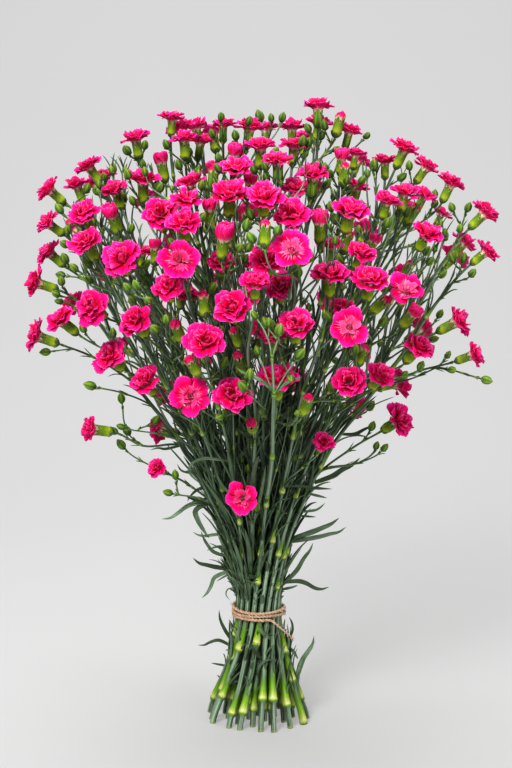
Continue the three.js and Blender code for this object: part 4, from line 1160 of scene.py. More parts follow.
def bud(body, head, axes, tone):
    """A green bud: an egg with five closed teeth, and small scales at its foot."""
    sides = 20
    s = BUD_SCALE * head.size
    t = np.linspace(0, 1, 13)
    z = np.interp(t, np.linspace(0, 1, 10), BUD_HEIGHTS)
    angle = angles(sides)
    ribs = 1 + 0.08 * np.cos(TEETH * angle)[None] * ease(z, 3, 12)[:, None]
    r = np.interp(z, BUD_HEIGHTS, BUD_RADII)[:, None] * ribs
    local = together(r * np.cos(angle), r * np.sin(angle), z[:, None]) * s
    grain = together(np.cos(angle)[None], np.sin(angle)[None], z[:, None] / 10 + 13 * tone)
    part = together(0.15 + 0.85 * (z / BUD_HEIGHTS[-1])[:, None], 0.0, 1 + tone)
    body.add(head.foot + local @ axes, grain, part, CALYX)
    for k in range(2):
        scale(body, head, axes, tone * 6 + k * math.pi, s, (BUD_HEIGHTS, BUD_RADII),
              np.linspace(-0.5, 4.1, 5), 0.2, 1.0, 3.8,
              tone=tone + 0.1 * k, keel=0.5, thick=0.3, fine=False, age=0.2)


# ---- Petals ----
PETAL = 0  # place in the list of bloom finishes
# Each layer of petals: how many, reach, degrees off the axis low down and at the rim, how much that
# varies, half-width, how far the blade wraps round the middle, ruffle, waves across, cup, how far the
# layer leans to one side, the share of the reach at which it is turned over, rows, columns.
OPEN_LAYERS = (
    (5, 21.6, 24, 80, 9, 10.0, 0.30, 1.4, 1.5, 0.0, 6, 0.70, 10, 19),
    (5, 22.4, 12, 68, 12, 9.0, 0.42, 1.7, 1.4, 0.4, 9, 0.80, 8, 15),
    (4, 21.4, 6, 42, 14, 7.6, 0.55, 1.7, 1.2, 0.9, 14, 0.80, 8, 13),
    (4, 19.2, 0, 15, 14, 5.8, 0.65, 1.6, 1.2, 1.1, 16, 0.74, 7, 11),
)
PLAIN_LAYERS = (
    (5, 21.4, 12, 80, 9, 10.0, 0.25, 0.9, 1.2, -0.5, 8, 0.50, 10, 19),
    (5, 14.6, -6, 52, 14, 4.2, 0.50, 1.2, 1.1, 0.5, 10, 0.70, 8, 11),
    (5, 10.4, -28, -2, 12, 2.8, 0.70, 0.7, 1.0, 0.8, 8, 0.80, 8, 7),
)
CUP_LAYERS = (
    (5, 17.6, 36, -10, 9, 8.6, 0.90, 0.5, 1.2, 0.3, 4, 0.80, 8, 13),
    (4, 17.2, 28, -14, 9, 7.2, 0.90, 0.8, 1.2, 0.8, 6, 0.80, 7, 11),
    (4, 16.0, 14, -20, 8, 5.4, 0.90, 1.0, 1.2, 1.0, 6, 0.80, 7, 9),
)
WIDE_CUP_LAYERS = (
    (5, 13.8, 18, 66, 9, 7.4, 0.40, 1.2, 1.4, 0.0, 6, 0.75, 8, 13),
    (5, 14.4, 10, 46, 9, 6.6, 0.50, 1.4, 1.3, 0.6, 6, 0.80, 8, 11),
    (4, 14.4, 3, 22, 8, 5.4, 0.70, 1.4, 1.2, 0.9, 8, 0.80, 7, 9),
)
TIP_LAYERS = (
    (5, 12.6, 24, -64, 3, 4.8, 1.0, 0.2, 1.0, 0.0, 0, 0.80, 9, 9),
    (4, 11.8, 18, -60, 3, 3.8, 1.0, 0.2, 1.0, 0.0, 0, 0.80, 8, 9),
)


def petal_layer(body, head, axes, row, chance, tone, depth, turn, lean):
    """One layer of petals round a head's axis."""
    count, reach, low, high, vary, half, wrap, ruffle, waves, cup, sway, turned, n, m = row
    size = head.size
    v = np.linspace(0, 1, n)
    u = np.linspace(1, -1, m)
    fine = np.linspace(0, 1, 33)
    for k in range(count):
        around = turn + (k + chance.uniform(-0.22, 0.22)) * 2 * math.pi / count
        rim = high + chance.normal(0, vary) + sway * math.cos(around - lean)
        long = reach * chance.uniform(0.87, 1.06)
        wide = half * chance.uniform(0.9, 1.12)
        bend = np.radians(lerp(low, rim, ease(fine, 0.16, turned)))
        out = np.concatenate([[0], np.cumsum(np.sin(bend[1:]))]) * long / 32
        up = np.concatenate([[0], np.cumsum(np.cos(bend[1:]))]) * long / 32
        teeth = 0.026 * np.where(np.arange(m) % 2, 1, -1) * chance.uniform(0.3, 1.4, m)
        notch = 0.07 * np.exp(-(((u - chance.uniform(-0.35, 0.35)) / 0.16) ** 2)) * (chance.random() < 0.6)
        round_off = 0.32 * np.abs(u) ** 2.2
        share = v[:, None] * (1 - round_off[None] * v[:, None] ** 2) + (teeth - notch)[None] * v[:, None] ** 9
        r = 3.0 + np.interp(share, fine, out)
        z = np.interp(share, fine, up)
        lie = np.interp(share, fine, bend)
        spread = (1.5 + (wide - 1.5) * ease(v, 0.14, 0.84) ** 0.85 * (1 - 0.1 * v**6))[:, None]
        env = ease(v, 0.3, 1.05)[:, None]
        a, b, c = chance.uniform(0, 2 * math.pi, 3)
        w = waves * chance.uniform(0.8, 1.25)
        off = ruffle * env * (np.sin(math.pi * w * u[None] + a + 0.8 * v[:, None])
                              + 0.4 * np.sin(math.pi * 2.6 * w * u[None] + b + 2.2 * v[:, None]))
        off = off + cup * env * (u[None] ** 2 - 0.3) * 1.6 + 0.5 * ruffle * env * np.sin(c + 5 * v[:, None])
        off = off + chance.normal(0, 0.9) * env * (np.abs(u)[None] - 0.5)
        inward, upward = -np.cos(lie), np.sin(lie)
        thick = 0.34 * (1 - 0.6 * v[:, None]) * np.ones_like(u)[None]
        aside = spread * u[None]
        swing = chance.uniform(-0.12, 0.12) * env * r
        faces = []
        for drop in (0, thick):
            rr = np.maximum(0.4, r + (off - drop) * inward)
            zz = z + (off - drop) * upward
            theta = aside / np.maximum(rr, 3.2)
            x = lerp(rr, rr * np.cos(theta), wrap)
            y = lerp(aside, rr * np.sin(theta), wrap) + swing
            faces.append(np.stack([x, y, zz], -1) * size)
        ring = np.concatenate([faces[0], faces[1][:, -2:0:-1]], axis=1)
        ca, sa = math.cos(around), math.sin(around)
        local = np.stack([ring[..., 0] * ca - ring[..., 1] * sa, ring[..., 0] * sa + ring[..., 1] * ca,
                          ring[..., 2] + 16.5 * min(1, size)], -1)
        us = np.concatenate([u, u[-2:0:-1]])
        back = 1.0 * (np.arange(len(us)) >= m)
        grain = together(us[None], v[:, None], chance.random())
        body.add(head.foot + local @ axes, grain, together(tone, depth, back[None]), PETAL, sheet=True)


def flower(body, head, axes, seed):
    """All the petals of one head."""
    chance = np.random.default_rng(seed)
    tone = chance.random()
    layers = {"open": OPEN_LAYERS, "cup": CUP_LAYERS, "tip": TIP_LAYERS}[head.kind]
    if head.pixel == WIDE_CUP:
        layers = WIDE_CUP_LAYERS
    if head.kind == "open" and (head.pixel in FIVE_PETALS or (head.foot[1] > 60 and (seed * 7) % 10 == 1)):
        layers = PLAIN_LAYERS
        tone = 1 + 0.25 * tone if head.pixel in FIVE_PETALS[PALE_HEARTS:] else 1.5 + 0.5 * tone
    turn = chance.uniform(0, 2 * math.pi)
    lean = chance.uniform(0, 2 * math.pi)
    for i, row in enumerate(layers):
        petal_layer(body, head, axes, row, chance, tone, i / (len(layers) - 1), turn, lean)
        turn += math.pi / row[0] + chance.uniform(-0.2, 0.2)


# ---- Whole sprays ----
def spray_bodies(spray):
    """The green parts and the petals of one spray."""
    green, pink = Body(), Body()
    chance = np.random.default_rng(1000 + spray.s)
    # Stems, calyx scales and buds nearer the middle of the bunch get a higher tone, which the finishes paint
    # darker: painted shade where the stems crowd, with some random tone besides.
    inside = 1 - min(1, math.hypot(*spray.site))
    curves = []
    for i, stalk in enumerate(spray.stalks):
        tone = min(1, 0.5 * chance.random() + 1.1 * inside)
        head = stalk.head
        if i == 0:
            grown = grow_trunk(green, spray, tone, chance)
        else:
            grown = grow_stalk(green, stalk, snap(stalk.route[0], curves), tone, chance)
        curves.append(grown.path)
        axes = stand(head, grown.x[-1])
        if head.kind == "bud":
            bud(green, head, axes, tone)
            continue
        calyx(green, head, axes, tone)
        flower(pink, head, axes, 100 * spray.s + i)
    for blade in spray.leaves:
        back_leaf(green, blade, chance)
    for places, width in spray.blades:
        picture_leaf(green, places, width, chance)
    if spray.front_root is not None:
        front_shoot(green, spray.front_root)
    return green, pink


def grow_trunk(body, spray, tone, chance):
    """The main stem, from its cut end to its uppermost bloom, with its leaves and thin shoots."""
    first = spray.stalks[0]
    points = [*spray.trunk, *first.route[1:]]
    path = smooth_curve(points, np.array([0, 0, 0.5]) + 0.5 * unit(points[1] - points[0]), first.head.axis)
    path = path + foot_stray(spray, chance) * ease(1 - path[:, 2:3] / (WAIST_Z - 12))
    path = np.concatenate([path[:1], path[:1] + (path[1] - path[0]) * 0.12, path[1:]])
    joints = trunk_joints(spray, path, chance)
    path = add_rings(path, joints)
    along = arc_length(path)
    radii = SLIM * np.interp(path[:, 2], [0, 120, 380], [STEM_R, 0.98 * STEM_R, 0.95 * STEM_TOP_R])
    radii = radii * lerp(0.72, 1, np.clip((along[-1] - along) / 70, 0, 1))
    # The hint points outwards, or to the front for the middle stem, so the painted highlight is on the outer
    # side and the painted shade faces into the bunch.
    hint = np.array([*spray.site, 0]) if spray.s else np.array([0, -1.0, 0])
    up = np.array([0, 0, 1.0])
    grown = stem(body, path, radii, joints, 12, tone, hint, up, chance.uniform(0, 0.3))
    dress_trunk(body, grown, chance)
    add_loose_leaves(body, grown, chance)
    add_shoots(body, grown, chance)
    return grown


def grow_stalk(body, stalk, root, tone, chance):
    """A side stalk from its root on a stem to its head, with small bracts on its joints."""
    small = stalk.r < BUD_STALK_R
    points = [root, *stalk.route[1:]]
    soft = 0.9 if length(points[-1] - root) > 25 else 0.6
    path = smooth_curve(points, stalk.start * soft, stalk.head.axis * soft, 3.5)
    along = arc_length(path)
    radii = STALK_SLIM * stalk.r * lerp(1.15, 0.9, along / along[-1])
    joints = stalk_joints(along[-1], small, chance)
    # The painted highlight of a stalk faces outwards from the bunch.
    outward = np.array([*path[0, :2], 0.01])
    grown = stem(body, path, radii, joints, 7 if small else 8, tone, outward)
    dress_stalk(body, grown, chance)
    return grown


def snap(root, curves):
    """The place on the curves grown so far that lies nearest to a root."""
    places = np.concatenate(curves)
    return places[np.argmin(np.linalg.norm(places - root, axis=1))]


def foot_stray(spray, chance):
    """How far a stem's cut end strays from its even place in the ring."""
    far = FOOT_STRAY * min(1, math.hypot(*spray.site))
    out = FOOT_SPREAD * np.array([*spray.site, 0])
    return out + np.array([chance.uniform(-far, far), chance.uniform(-far, far), 0])


def trunk_joints(spray, path, chance):
    """The joints of a stem: where, how far the pale sheath reaches above, and how much they swell."""
    heights = [z for z in spray.joints if z < WAIST_Z]
    hidden = path[0, 1] > 5
    heights += [] if heights else [chance.uniform(12, 50 if hidden else 24)]
    if hidden and len(heights) < 2 and heights[0] < 45:
        heights.append(chance.uniform(62, 96))
    seen = [z for z in spray.joints if z > WAIST_Z]
    level = chance.uniform(148, 200)
    while level < path[-1, 2] - 35:
        if all(abs(level - z) > 30 for z in seen):
            heights.append(level)
        level += chance.uniform(48, 80)
    places = np.interp(heights + seen, path[:, 2], arc_length(path))
    joints = []
    for place, height in zip(places, heights + seen):
        foot = height < WAIST_Z - 10
        sheath = chance.uniform(28, 52) if foot else chance.uniform(14, 32)
        joints.append((place, sheath, chance.uniform(0.5, 0.74) if foot else chance.uniform(0.36, 0.58)))
    return joints


def add_rings(path, joints):
    """A path with more places near its joints, so that they come out round."""
    along = arc_length(path)
    extra = [place + shift for place, _, _ in joints for shift in (-4.2, -3.7, -2.8, -1.5, 0, 1.6)]
    marks = np.union1d(along, np.clip(extra, 0, along[-1]))
    return np.stack([np.interp(marks, along, path[:, k]) for k in range(3)], -1)


def stalk_joints(reach, small, chance):
    joints = [(1.5, 8 if small else 14, 0.4)]
    if reach > 34:
        joints.append((reach * chance.uniform(0.42, 0.6), 13, 0.4))
    if reach > 16:
        joints.append((reach - chance.uniform(5, 8), 7, 0.3))
    return joints


def at_joint(grown, place, angle):
    """Where a leaf leaves a stem: the ring there, its middle, its way and the way out."""
    i = int(np.argmin(np.abs(grown.along - place)))
    return i, grown.path[i], grown.ways[i], grown.x[i] * math.cos(angle) + grown.y[i] * math.sin(angle)


def dress_trunk(body, grown, chance):
    """Puts leaves in pairs on a stem's joints above the tie."""
    turn = chance.uniform(0, math.pi)
    for place, _, _ in grown.joints:
        turn += math.pi / 2 + chance.uniform(-0.3, 0.3)
        for k in range(2):
            i, root, way, out = at_joint(grown, place, turn + k * math.pi)
            z = root[2]
            if z < WAIST_Z + 22 or chance.random() > LEAF_SHARE:
                continue
            reach = lerp(78, 16, clamp((z - 150) / 330, 0, 1) ** 0.7) * chance.uniform(0.7, 1.25)
            inside = math.hypot(root[0], root[1]) / flare(z)
            if z < 260 and inside > 0.8 and out @ unit(np.array([root[0], root[1], 0.01])) > 0.3:
                reach *= 0.55
            spread = chance.uniform(18, 46) if z < 320 else chance.uniform(20, 60)
            droop = chance.uniform(-20, 45)
            twist = chance.uniform(-0.25, 0.25)
            blade = arching(root + out * grown.radii[i] * 0.5, way, out, reach, spread, droop, twist, 12)
            width = chance.uniform(3.4, 5.2) * lerp(1, 0.6, min(1, z / 560))
            leaf(body, blade, width, -out, chance.random(), age=chance.uniform(0, 0.3))


def add_loose_leaves(body, grown, chance):
    """Adds narrow leaves that curl away from a stem between its joints."""
    path = grown.path
    outer = math.hypot(path[0, 0], path[0, 1]) > 0.6 * FOOT_R
    front = outer and path[0, 1] < -0.5 * abs(path[0, 0])
    rows = [(0.8 if row[-1] < 15 else math.pi, row) for row in LOOSE_LEAVES]
    rows += [(0.8, row) for row in OUTER_LEAVES] if outer else [(math.pi, row) for row in INNER_LEAVES]
    rows = [pair for pair in rows for _ in range(pair[1][2])]
    for around, (low, high, _, shortest, longest, narrow, wide, most) in rows:
        level = chance.uniform(low, high)
        angle = chance.normal(0, around)
        reach = chance.uniform(shortest, longest)
        spread = chance.uniform(3, most)
        droop = chance.uniform(-30, 75) * min(1, most / 30)
        twist = chance.uniform(-0.6, 0.6)
        width = chance.uniform(narrow, wide)
        if level < WAIST_Z:
            reach = min(reach, WAIST_Z - 10 - level)
        if level > path[-1, 2] - 12 or reach < 8 or (front and level > WAIST_Z and most < 40):
            continue
        i = int(np.argmin(np.abs(path[:, 2] - level)))
        out = grown.x[i] * math.cos(angle) + grown.y[i] * math.sin(angle)
        away = path[i] * np.array([1, 1, 0])
        if most > 40 and length(away) > 0.75 * flare(level) and out @ unit(away) > 0.2:
            reach *= 0.55
        root = path[i] + out * grown.radii[i] * 0.6
        blade = arching(root, grown.ways[i], out, reach, spread, droop, twist, 12)
        # Painted shade: leaves nearer the middle of the bunch get a darker tone.
        tone = min(1, 0.6 * chance.random() + 1.4 * max(0, 0.8 - length(away) / flare(level)))
        leaf(body, blade, width, -out, tone**0.7, age=chance.uniform(0, 0.25))


def add_shoots(body, grown, chance):
    """Adds thin jointed shoots that rise beside a stem, with a pair of small leaves at each joint."""
    path = grown.path
    for lowest, highest in [row[:2] for row in SHOOTS for _ in range(row[2])]:
        low = chance.uniform(lowest, highest)
        high = min(572, low + chance.uniform(50, 120))
        aside = chance.uniform(-0.2, 0.2, 2)
        tone = chance.random()
        if low > path[-1, 2] - 8:
            continue
        i = int(np.argmin(np.abs(path[:, 2] - low)))
        place = section_place(path[i]) + aside
        room = min(0.9, 0.86 * head_radius(high) / flare(high)) if high > 400 else 0.9
        place *= min(1, room / math.hypot(*place))
        end = stem_point(*place, high)
        start = unit(grown.ways[i] + unit(end - path[i]))
        curve = smooth_curve([path[i], end], start, unit(end * [0.6, 0.6, 1]), 3.5)
        reach = arc_length(curve)[-1]
        joints = [(1, 8, 0.3), (reach * chance.uniform(0.4, 0.6), 9, 0.4), (reach - 2, 6, 0.4)]
        # The painted highlight of a shoot faces the front.
        toward = np.array([0, -1.0, 0.01])
        shoot = stem(body, curve, np.linspace(1.25, 0.7, len(curve)), joints, 6, tone, toward)
        for joint, _, _ in joints[1:]:
            turn = chance.uniform(0, math.pi)
            for k in range(2):
                _, root, way, out = at_joint(shoot, joint, turn + k * math.pi)
                blade = arching(root, way, out, chance.uniform(10, 26), chance.uniform(12, 34),
                                chance.uniform(-10, 40), chance.uniform(-0.3, 0.3), 9)
                leaf(body, blade, chance.uniform(1.6, 2.8), -out, chance.random(), fine=False, thick=0.35)
        if chance.random() < 0.5:
            axis = unit(curve[-1] - curve[-2])
            head = Record(kind="bud", size=chance.uniform(0.45, 0.8), axis=axis, foot=curve[-1])
            bud(body, head, stand(head, shoot.x[-1]), tone)


def dress_stalk(body, grown, chance):
    """Puts small pointed bracts in pairs on a stalk's joints."""
    turn = chance.uniform(0, math.pi)
    for place, sheath, _ in grown.joints:
        turn += math.pi / 2
        for k in range(2):
            i, root, way, out = at_joint(grown, place, turn + k * math.pi)
            reach = chance.uniform(5, 11) * (1.3 if sheath > 8 else 0.8)
            start = root + out * grown.radii[i] * 0.6
            blade = arching(start, way, out, reach, chance.uniform(14, 40), 0, 0, 5)
            leaf(body, blade, chance.uniform(1.6, 2.3), -out, chance.random(), thick=0.35, fine=False,
                 age=0.4)


def back_leaf(body, blade, chance):
    """A leaf that the solids have too, with a twist and a curled tip."""
    t = np.linspace(0, 1, 16)
    path = np.array([blade.at(s) for s in t])
    way = rows_unit(np.gradient(path, axis=0))
    side = rows_unit(np.cross(way, [0, -0.5, 1]))
    bow = chance.uniform(-0.05, 0.05) * blade.length
    path = path + side * (bow * np.sin(math.pi * t))[:, None]
    path[:, 2] += chance.uniform(-0.02, 0.05) * blade.length * np.sin(2 * math.pi * t)
    hint = np.array([0, -0.5, 1.0])
    leaf(body, path, blade.width * 1.05, hint, chance.random(), age=chance.uniform(0, 0.25))


def picture_leaf(body, places, width, chance):
    path = smooth_curve(places, step=3.5)
    hint = np.array([chance.uniform(-0.3, 0.3), -1.0, chance.uniform(0.1, 0.5)])
    leaf(body, path, width * 0.95, hint, chance.random(), keel=0.25, age=chance.uniform(0, 0.2))


def front_shoot(body, root):
    """The branching shoot that stands in front of the others, with its leaves and buds."""
    for kind, size, *row in FRONT_SHOOT:
        places = [at_depth(*each) for each in zip(row[::3], row[1::3], row[2::3])]
        if size > 2 and kind == "stalk":
            places[0] = root
        path = smooth_curve(places, step=3)
        if kind == "leaf":
            leaf(body, path, size, np.array([0, -0.8, 0.6]), 0.1)
            continue
        along = arc_length(path)
        joints = [(1.5, 8, 0.3), (along[-1] - 1.5, 7, 0.4)]
        joints += [(0.4 * along[-1], 16, 0.4)] if along[-1] > 60 else []
        radii = np.linspace(1.1 * size, 0.9 * size, len(path))
        # The painted highlight of these stalks faces the front.
        grown = stem(body, path, radii, joints, 9, 0.1, np.array([0, -1.0, 0.01]))
        if kind == "bud":
            head = Record(kind="bud", size=0.8, axis=unit(path[-1] - path[-2]), foot=path[-1])
            bud(body, head, stand(head, grown.x[-1]), 0.2)


# ---- Twine ----
JUTE = 0  # place in the list of twine finishes
STRANDS = 2
WOUND_RISE = 3.9  # millimetres that a turn rises
LAST_STEP = 43  # wound before the end is tucked in


def twine_path():
    r = WAIST_R + SLIM * STEM_R + TWINE_R + 0.6
    end = math.radians(TWINE_END_TURN)
    low = WAIST_Z - 1 - (TWINE_TURNS * WOUND_RISE) / 2
    c, s = r * math.cos(end), r * math.sin(end)
    loose = [(c + 24, s - 9, low - 18), (c + 15, s - 8, low - 10.5), (c + 6, s - 5.5, low - 3.3)]
    turns = [end - 2 * math.pi * k / TWINE_STEPS for k in range(LAST_STEP + 1)]
    wound = [(r * math.cos(a), r * math.sin(a), low + WOUND_RISE * k / TWINE_STEPS + 0.6 * math.sin(2.3 * a))
             for k, a in enumerate(turns)]
    high = wound[-1][2]
    tucked = [(back * math.cos(turns[-1] - turn), back * math.sin(turns[-1] - turn), high - drop)
              for turn, back, drop in ((0.22, r - 0.3, 1.2), (0.42, r - 1.6, 3.6), (0.55, r - 4, 5.4))]
    return smooth_curve(loose + wound + tucked, step=1.1)


def twine_body(settings):
    """Two strands twisted into one jute cord, wound round the waist, with stray fibres."""
    body = Body()
    path = twine_path()
    along = arc_length(path)
    _, x, y = frames(path, np.array([0.2, 0.1, 1.0]))
    chance = np.random.default_rng(5)
    strand_r = settings.strand_radius * 1000
    fray = np.clip((along - 1.5) / 9, 0.0, 1)
    for k in range(STRANDS):
        twist = 2 * math.pi * (along / (settings.twist_pitch * 1000) + k / STRANDS)
        off = 0.95 * strand_r * (2 - fray) * lerp(0.7, 1, ease(along, 20, 34))
        centre = path + (x * np.cos(twist)[:, None] + y * np.sin(twist)[:, None]) * off[:, None]
        lumps = 1 + 0.10 * np.sin(along * 0.9 + k * 2) + 0.08 * np.sin(along * 2.3 + k)
        radii = strand_r * lumps * lerp(0.5, 1, fray) * lerp(0.72, 1, ease(along, 20, 34))
        _, sx, sy = frames(centre, np.array([0.1, 0.2, 1.0]))
        rings, c, s = ringed(centre, sx, sy, radii, 9)
        grain = together(c[None], s[None], along[:, None] / 10 + 20 * k)
        # The first number of part tells the jute finish which strand this is, for its painted lighter strand.
        body.add(rings, grain, (k / STRANDS, 0, 0), JUTE)
    for h in range(settings.fibres):
        i = int(chance.integers(0, len(path) - 2))
        out = x[i] * math.cos(h) + y[i] * math.sin(h)
        start = path[i] + out * strand_r * 1.9
        way = unit(unit(path[i + 1] - path[i]) + out * chance.uniform(0.3, 1.3))
        curl = chance.normal(0, 1, 3) * 0.5
        reach = chance.uniform(2.0, 6.5)
        t = np.linspace(0, 1, 5)[:, None]
        hair = start + way * reach * t + curl * reach * t**2 * 0.5
        _, hx, hy = frames(hair, np.array([0.3, 0.2, 1.0]))
        body.add(ringed(hair, hx, hy, np.linspace(0.11, 0.04, 5), 3)[0], 0.3, 0.9, JUTE)
    return body


# ---- Finishes ----
def srgb(red, green, blue):
    """A colour as a screen shows it, 0 to 255, turned into linear light."""
    def linear(c):
        c = c / 255
        return c / 12.92 if c <= 0.04045 else ((c + 0.055) / 1.055) ** 2.4

    return linear(red), linear(green), linear(blue)


class Value:
    """A number that varies over a surface; arithmetic on it adds Math nodes."""

    def __init__(self, finish, socket):
        self.finish = finish
        self.socket = socket

    def __add__(self, other):
        return self.finish.math("ADD", self, other)

    __radd__ = __add__

    def __sub__(self, other):
        return self.finish.math("SUBTRACT", self, other)

    def __rsub__(self, other):
        return self.finish.math("SUBTRACT", other, self)

    def __mul__(self, other):
        return self.finish.math("MULTIPLY", self, other)

    __rmul__ = __mul__

    def within(self, low, high):
        """0 below low, 1 above high and a smooth step between them."""
        inputs = {"Value": self, "From Min": low, "From Max": high}
        return self.finish.node("ShaderNodeMapRange", {"interpolation_type": "SMOOTHSTEP"}, inputs)


class Finish:
    """A material under one name, built from expressions."""

    def __init__(self, name, constants):
        self.material = bpy.data.materials.new(name)
        self.material.use_nodes = True
        self.tree = self.material.node_tree
        self.tree.nodes.clear()
        self.surface = self.tree.nodes.new("ShaderNodeBsdfPrincipled")
        out = self.tree.nodes.new("ShaderNodeOutputMaterial")
        self.tree.links.new(self.surface.outputs[0], out.inputs[0])
        for socket, value in constants.items():
            self.surface.inputs[socket].default_value = value

    def put(self, socket, value):
        """Sets a socket to a constant or links it to a value."""
        if isinstance(value, Value):
            self.tree.links.new(value.socket, socket)
        elif socket.type == "RGBA" and len(value) == 3:
            socket.default_value = (*value, 1)
        else:
            socket.default_value = value

    def node(self, kind, settings=None, inputs=None, output=0):
        """Adds a node: first its settings, then the values or links of its sockets."""
        made = self.tree.nodes.new(kind)
        for key, value in (settings or {}).items():
            if key == "stops":
                ramp = made.color_ramp
                while len(ramp.elements) < len(value):
                    ramp.elements.new(0.5)
                for element, (place, colour) in zip(ramp.elements, value):
                    element.position = place
                    element.color = (*colour, 1)
            else:
                setattr(made, key, value)
        for key, value in (inputs or {}).items():
            self.put(made.inputs[key], value)
        return Value(self, made.outputs[output])

    def math(self, operation, *terms):
        return self.node("ShaderNodeMath", {"operation": operation}, dict(enumerate(terms)))

    def blend(self, colour, *layers):
        """A colour with others laid over it, each by a share from 0 to 1."""
        for share, above in layers:
            settings = {"data_type": "RGBA", "clamp_factor": True}
            colour = self.node("ShaderNodeMix", settings, {0: share, 6: colour, 7: above}, 2)
        return colour

    def ramp(self, share, stops):
        return self.node("ShaderNodeValToRGB", {"stops": stops}, {0: share})

    def notes(self, name):
        """The three numbers that each point carries under a name."""
        return self.parts(self.node("ShaderNodeAttribute", {"attribute_name": name}, output=1))

    def parts(self, vector):
        split = self.node("ShaderNodeSeparateXYZ", inputs={0: vector}).socket.node
        return [Value(self, socket) for socket in split.outputs]

    def noise(self, x, y, z, detail=3.0, rough=0.55):
        """Soft noise about 1 unit wide at a place."""
        place = self.node("ShaderNodeCombineXYZ", inputs={0: x, 1: y, 2: z})
        inputs = {"Vector": place, "Scale": 1.0, "Detail": detail, "Roughness": rough}
        return self.node("ShaderNodeTexNoise", inputs=inputs)

    def bump(self, height, strength, distance):
        """Raises fine relief on the surface."""
        inputs = {"Strength": strength, "Distance": distance, "Height": height}
        self.put(self.surface.inputs["Normal"], self.node("ShaderNodeBump", inputs=inputs))

    def wear(self, colour, rough):
        self.put(self.surface.inputs["Base Color"], colour)
        self.put(self.surface.inputs["Roughness"], rough)
        return self.material


def petal_finish(settings):
    finish = Finish("petal", {
        "Specular IOR Level": 0.06, "Subsurface Weight": settings.glow, "Subsurface Scale": 0.003,
        "Subsurface Radius": (1.0, 0.3, 0.7),
    })
    u, v, own = finish.notes("grain")
    tone, depth, back = finish.notes("part")
    plain, pale = tone.within(0.999, 1.0), tone.within(1.3, 1.5)
    streak = finish.noise(u * 5 + own * 53, v * 0.9 + own * 7, tone * 19, 4.0, 0.6)
    broad = finish.noise(u * 1.6 + own * 31, v * 1.5, tone * 11, 2.0)
    ray = finish.noise(u * 8 + own * 53, v * 0.5 + own * 3, tone * 5)
    vein = finish.noise(u * 22 + own * 53, v * 1.4, tone * 19, 2.0)
    # Painted shade: deep red laid on the lower half of each petal, more on the inner layers, where the folds
    # of the head lie in shade; little on plain blooms.
    painted_fold_shade = (1 - v.within(0.35, 0.75)) * (0.3 + 0.5 * depth) * (1 - 0.9 * plain)
    margin = (v + (streak - 0.5) * 0.6).within(0.64, 0.88)
    throat = 1 - (v - (ray - 0.5) * (0.9 + 0.3 * plain)).within(0.34, 0.54)
    # Painted highlight: pale streaks on the upper part of the inner petals, where light catches them.
    painted_glint = depth.within(0.2, 1.0) * v.within(0.6, 0.9) * ray.within(0.5, 0.62)
    claw = 1 - (v - back * 0.06).within(0.14, 0.34)
    body = finish.blend(
        settings.deep,
        (broad.within(0.3, 0.7), settings.petal),
        (painted_fold_shade, settings.painted_fold_shade),
        (margin * (0.9 - 0.3 * depth), settings.margin),
        (v.within(0.88, 1.0) * vein.within(0.42, 0.6) * 0.8, settings.edge),
        (throat * (0.42 + 0.16 * plain + 0.3 * pale), settings.streak),
        (painted_glint * 0.6, settings.streak),
        # Lighter inner petals of plain blooms: a real pale heart on the pale-hearted ones, painted light
        # against the shade in the middle on the others.
        ((plain + pale) * depth * 0.3, settings.streak),
        (back * 0.45, srgb(228, 26, 108)),
        (back * vein.within(0.5, 0.66) * 0.35, settings.edge),
        (claw, settings.claw),
    )
    finish.bump(vein * 0.7 + streak * 0.6, 0.35, 0.0006)
    return finish.wear(body, 0.5 + 0.3 * broad)


def stem_finish(settings):
    finish = Finish("stem", {"Specular IOR Level": 0.6})
    c, s, along = finish.notes("grain")
    rise, height, tone = finish.notes("part")
    fleck = finish.noise(c * 2.2, s * 2.2, along * 0.6, 4.0)
    line = finish.noise(c * 5, s * 5, along * 0.08)
    main = finish.blend(
        settings.stem,
        # Part random deep green, part painted shade on the stems inside the bunch.
        (tone, settings.deep_green_and_inner_shade),
        # Painted shade: the side of each stem that faces away from its hint, into the bunch, is darkened.
        ((1 - c.within(-0.1, 0.9)) * 0.66, settings.shade),
        # Painted highlight: the side of each stem towards its hint is lit up with the wax colour; the flecks
        # and streaks after it are the stems' own waxy bloom.
        (c.within(0.7, 0.94) * 0.5, settings.wax_and_painted_highlight),
        (fleck.within(0.45, 0.75) * 0.6, settings.wax_and_painted_highlight),
        ((1 - line.within(0.36, 0.46)) * 0.5, settings.wax_and_painted_highlight),
        (line.within(0.5, 0.62) * 0.55, settings.shade),
    )
    stops = [(0.0, srgb(146, 164, 56)), (0.05, srgb(218, 222, 158)), (0.13, srgb(198, 210, 112)),
             (0.26, srgb(156, 188, 58)), (0.5, srgb(112, 150, 44)), (1.0, srgb(74, 108, 54))]
    stripe = line.within(0.47, 0.55) * rise.within(0.06, 0.26) * (1 - rise.within(0.5, 0.95))
    sheath = finish.blend(
        finish.ramp(rise + (fleck - 0.5) * 0.2, stops),
        (stripe * 0.85, srgb(118, 172, 8)),
        # Painted shade on the inward side of the sheath.
        ((1 - c.within(-0.3, 0.7)) * 0.4, srgb(60, 84, 24)),
    )
    joint = 1 - (rise + (line - 0.5) * 0.5).within(0.4, 0.95)
    body = finish.blend(
        main,
        (joint * (1 - 0.2 * height.within(0.18, 0.42)), sheath),
        ((1 - height.within(0.0015, 0.005)) * 0.6, srgb(168, 176, 96)),
    )
    finish.bump(line, 0.45, 0.0008)
    return finish.wear(body, 0.32 + 0.3 * fleck)


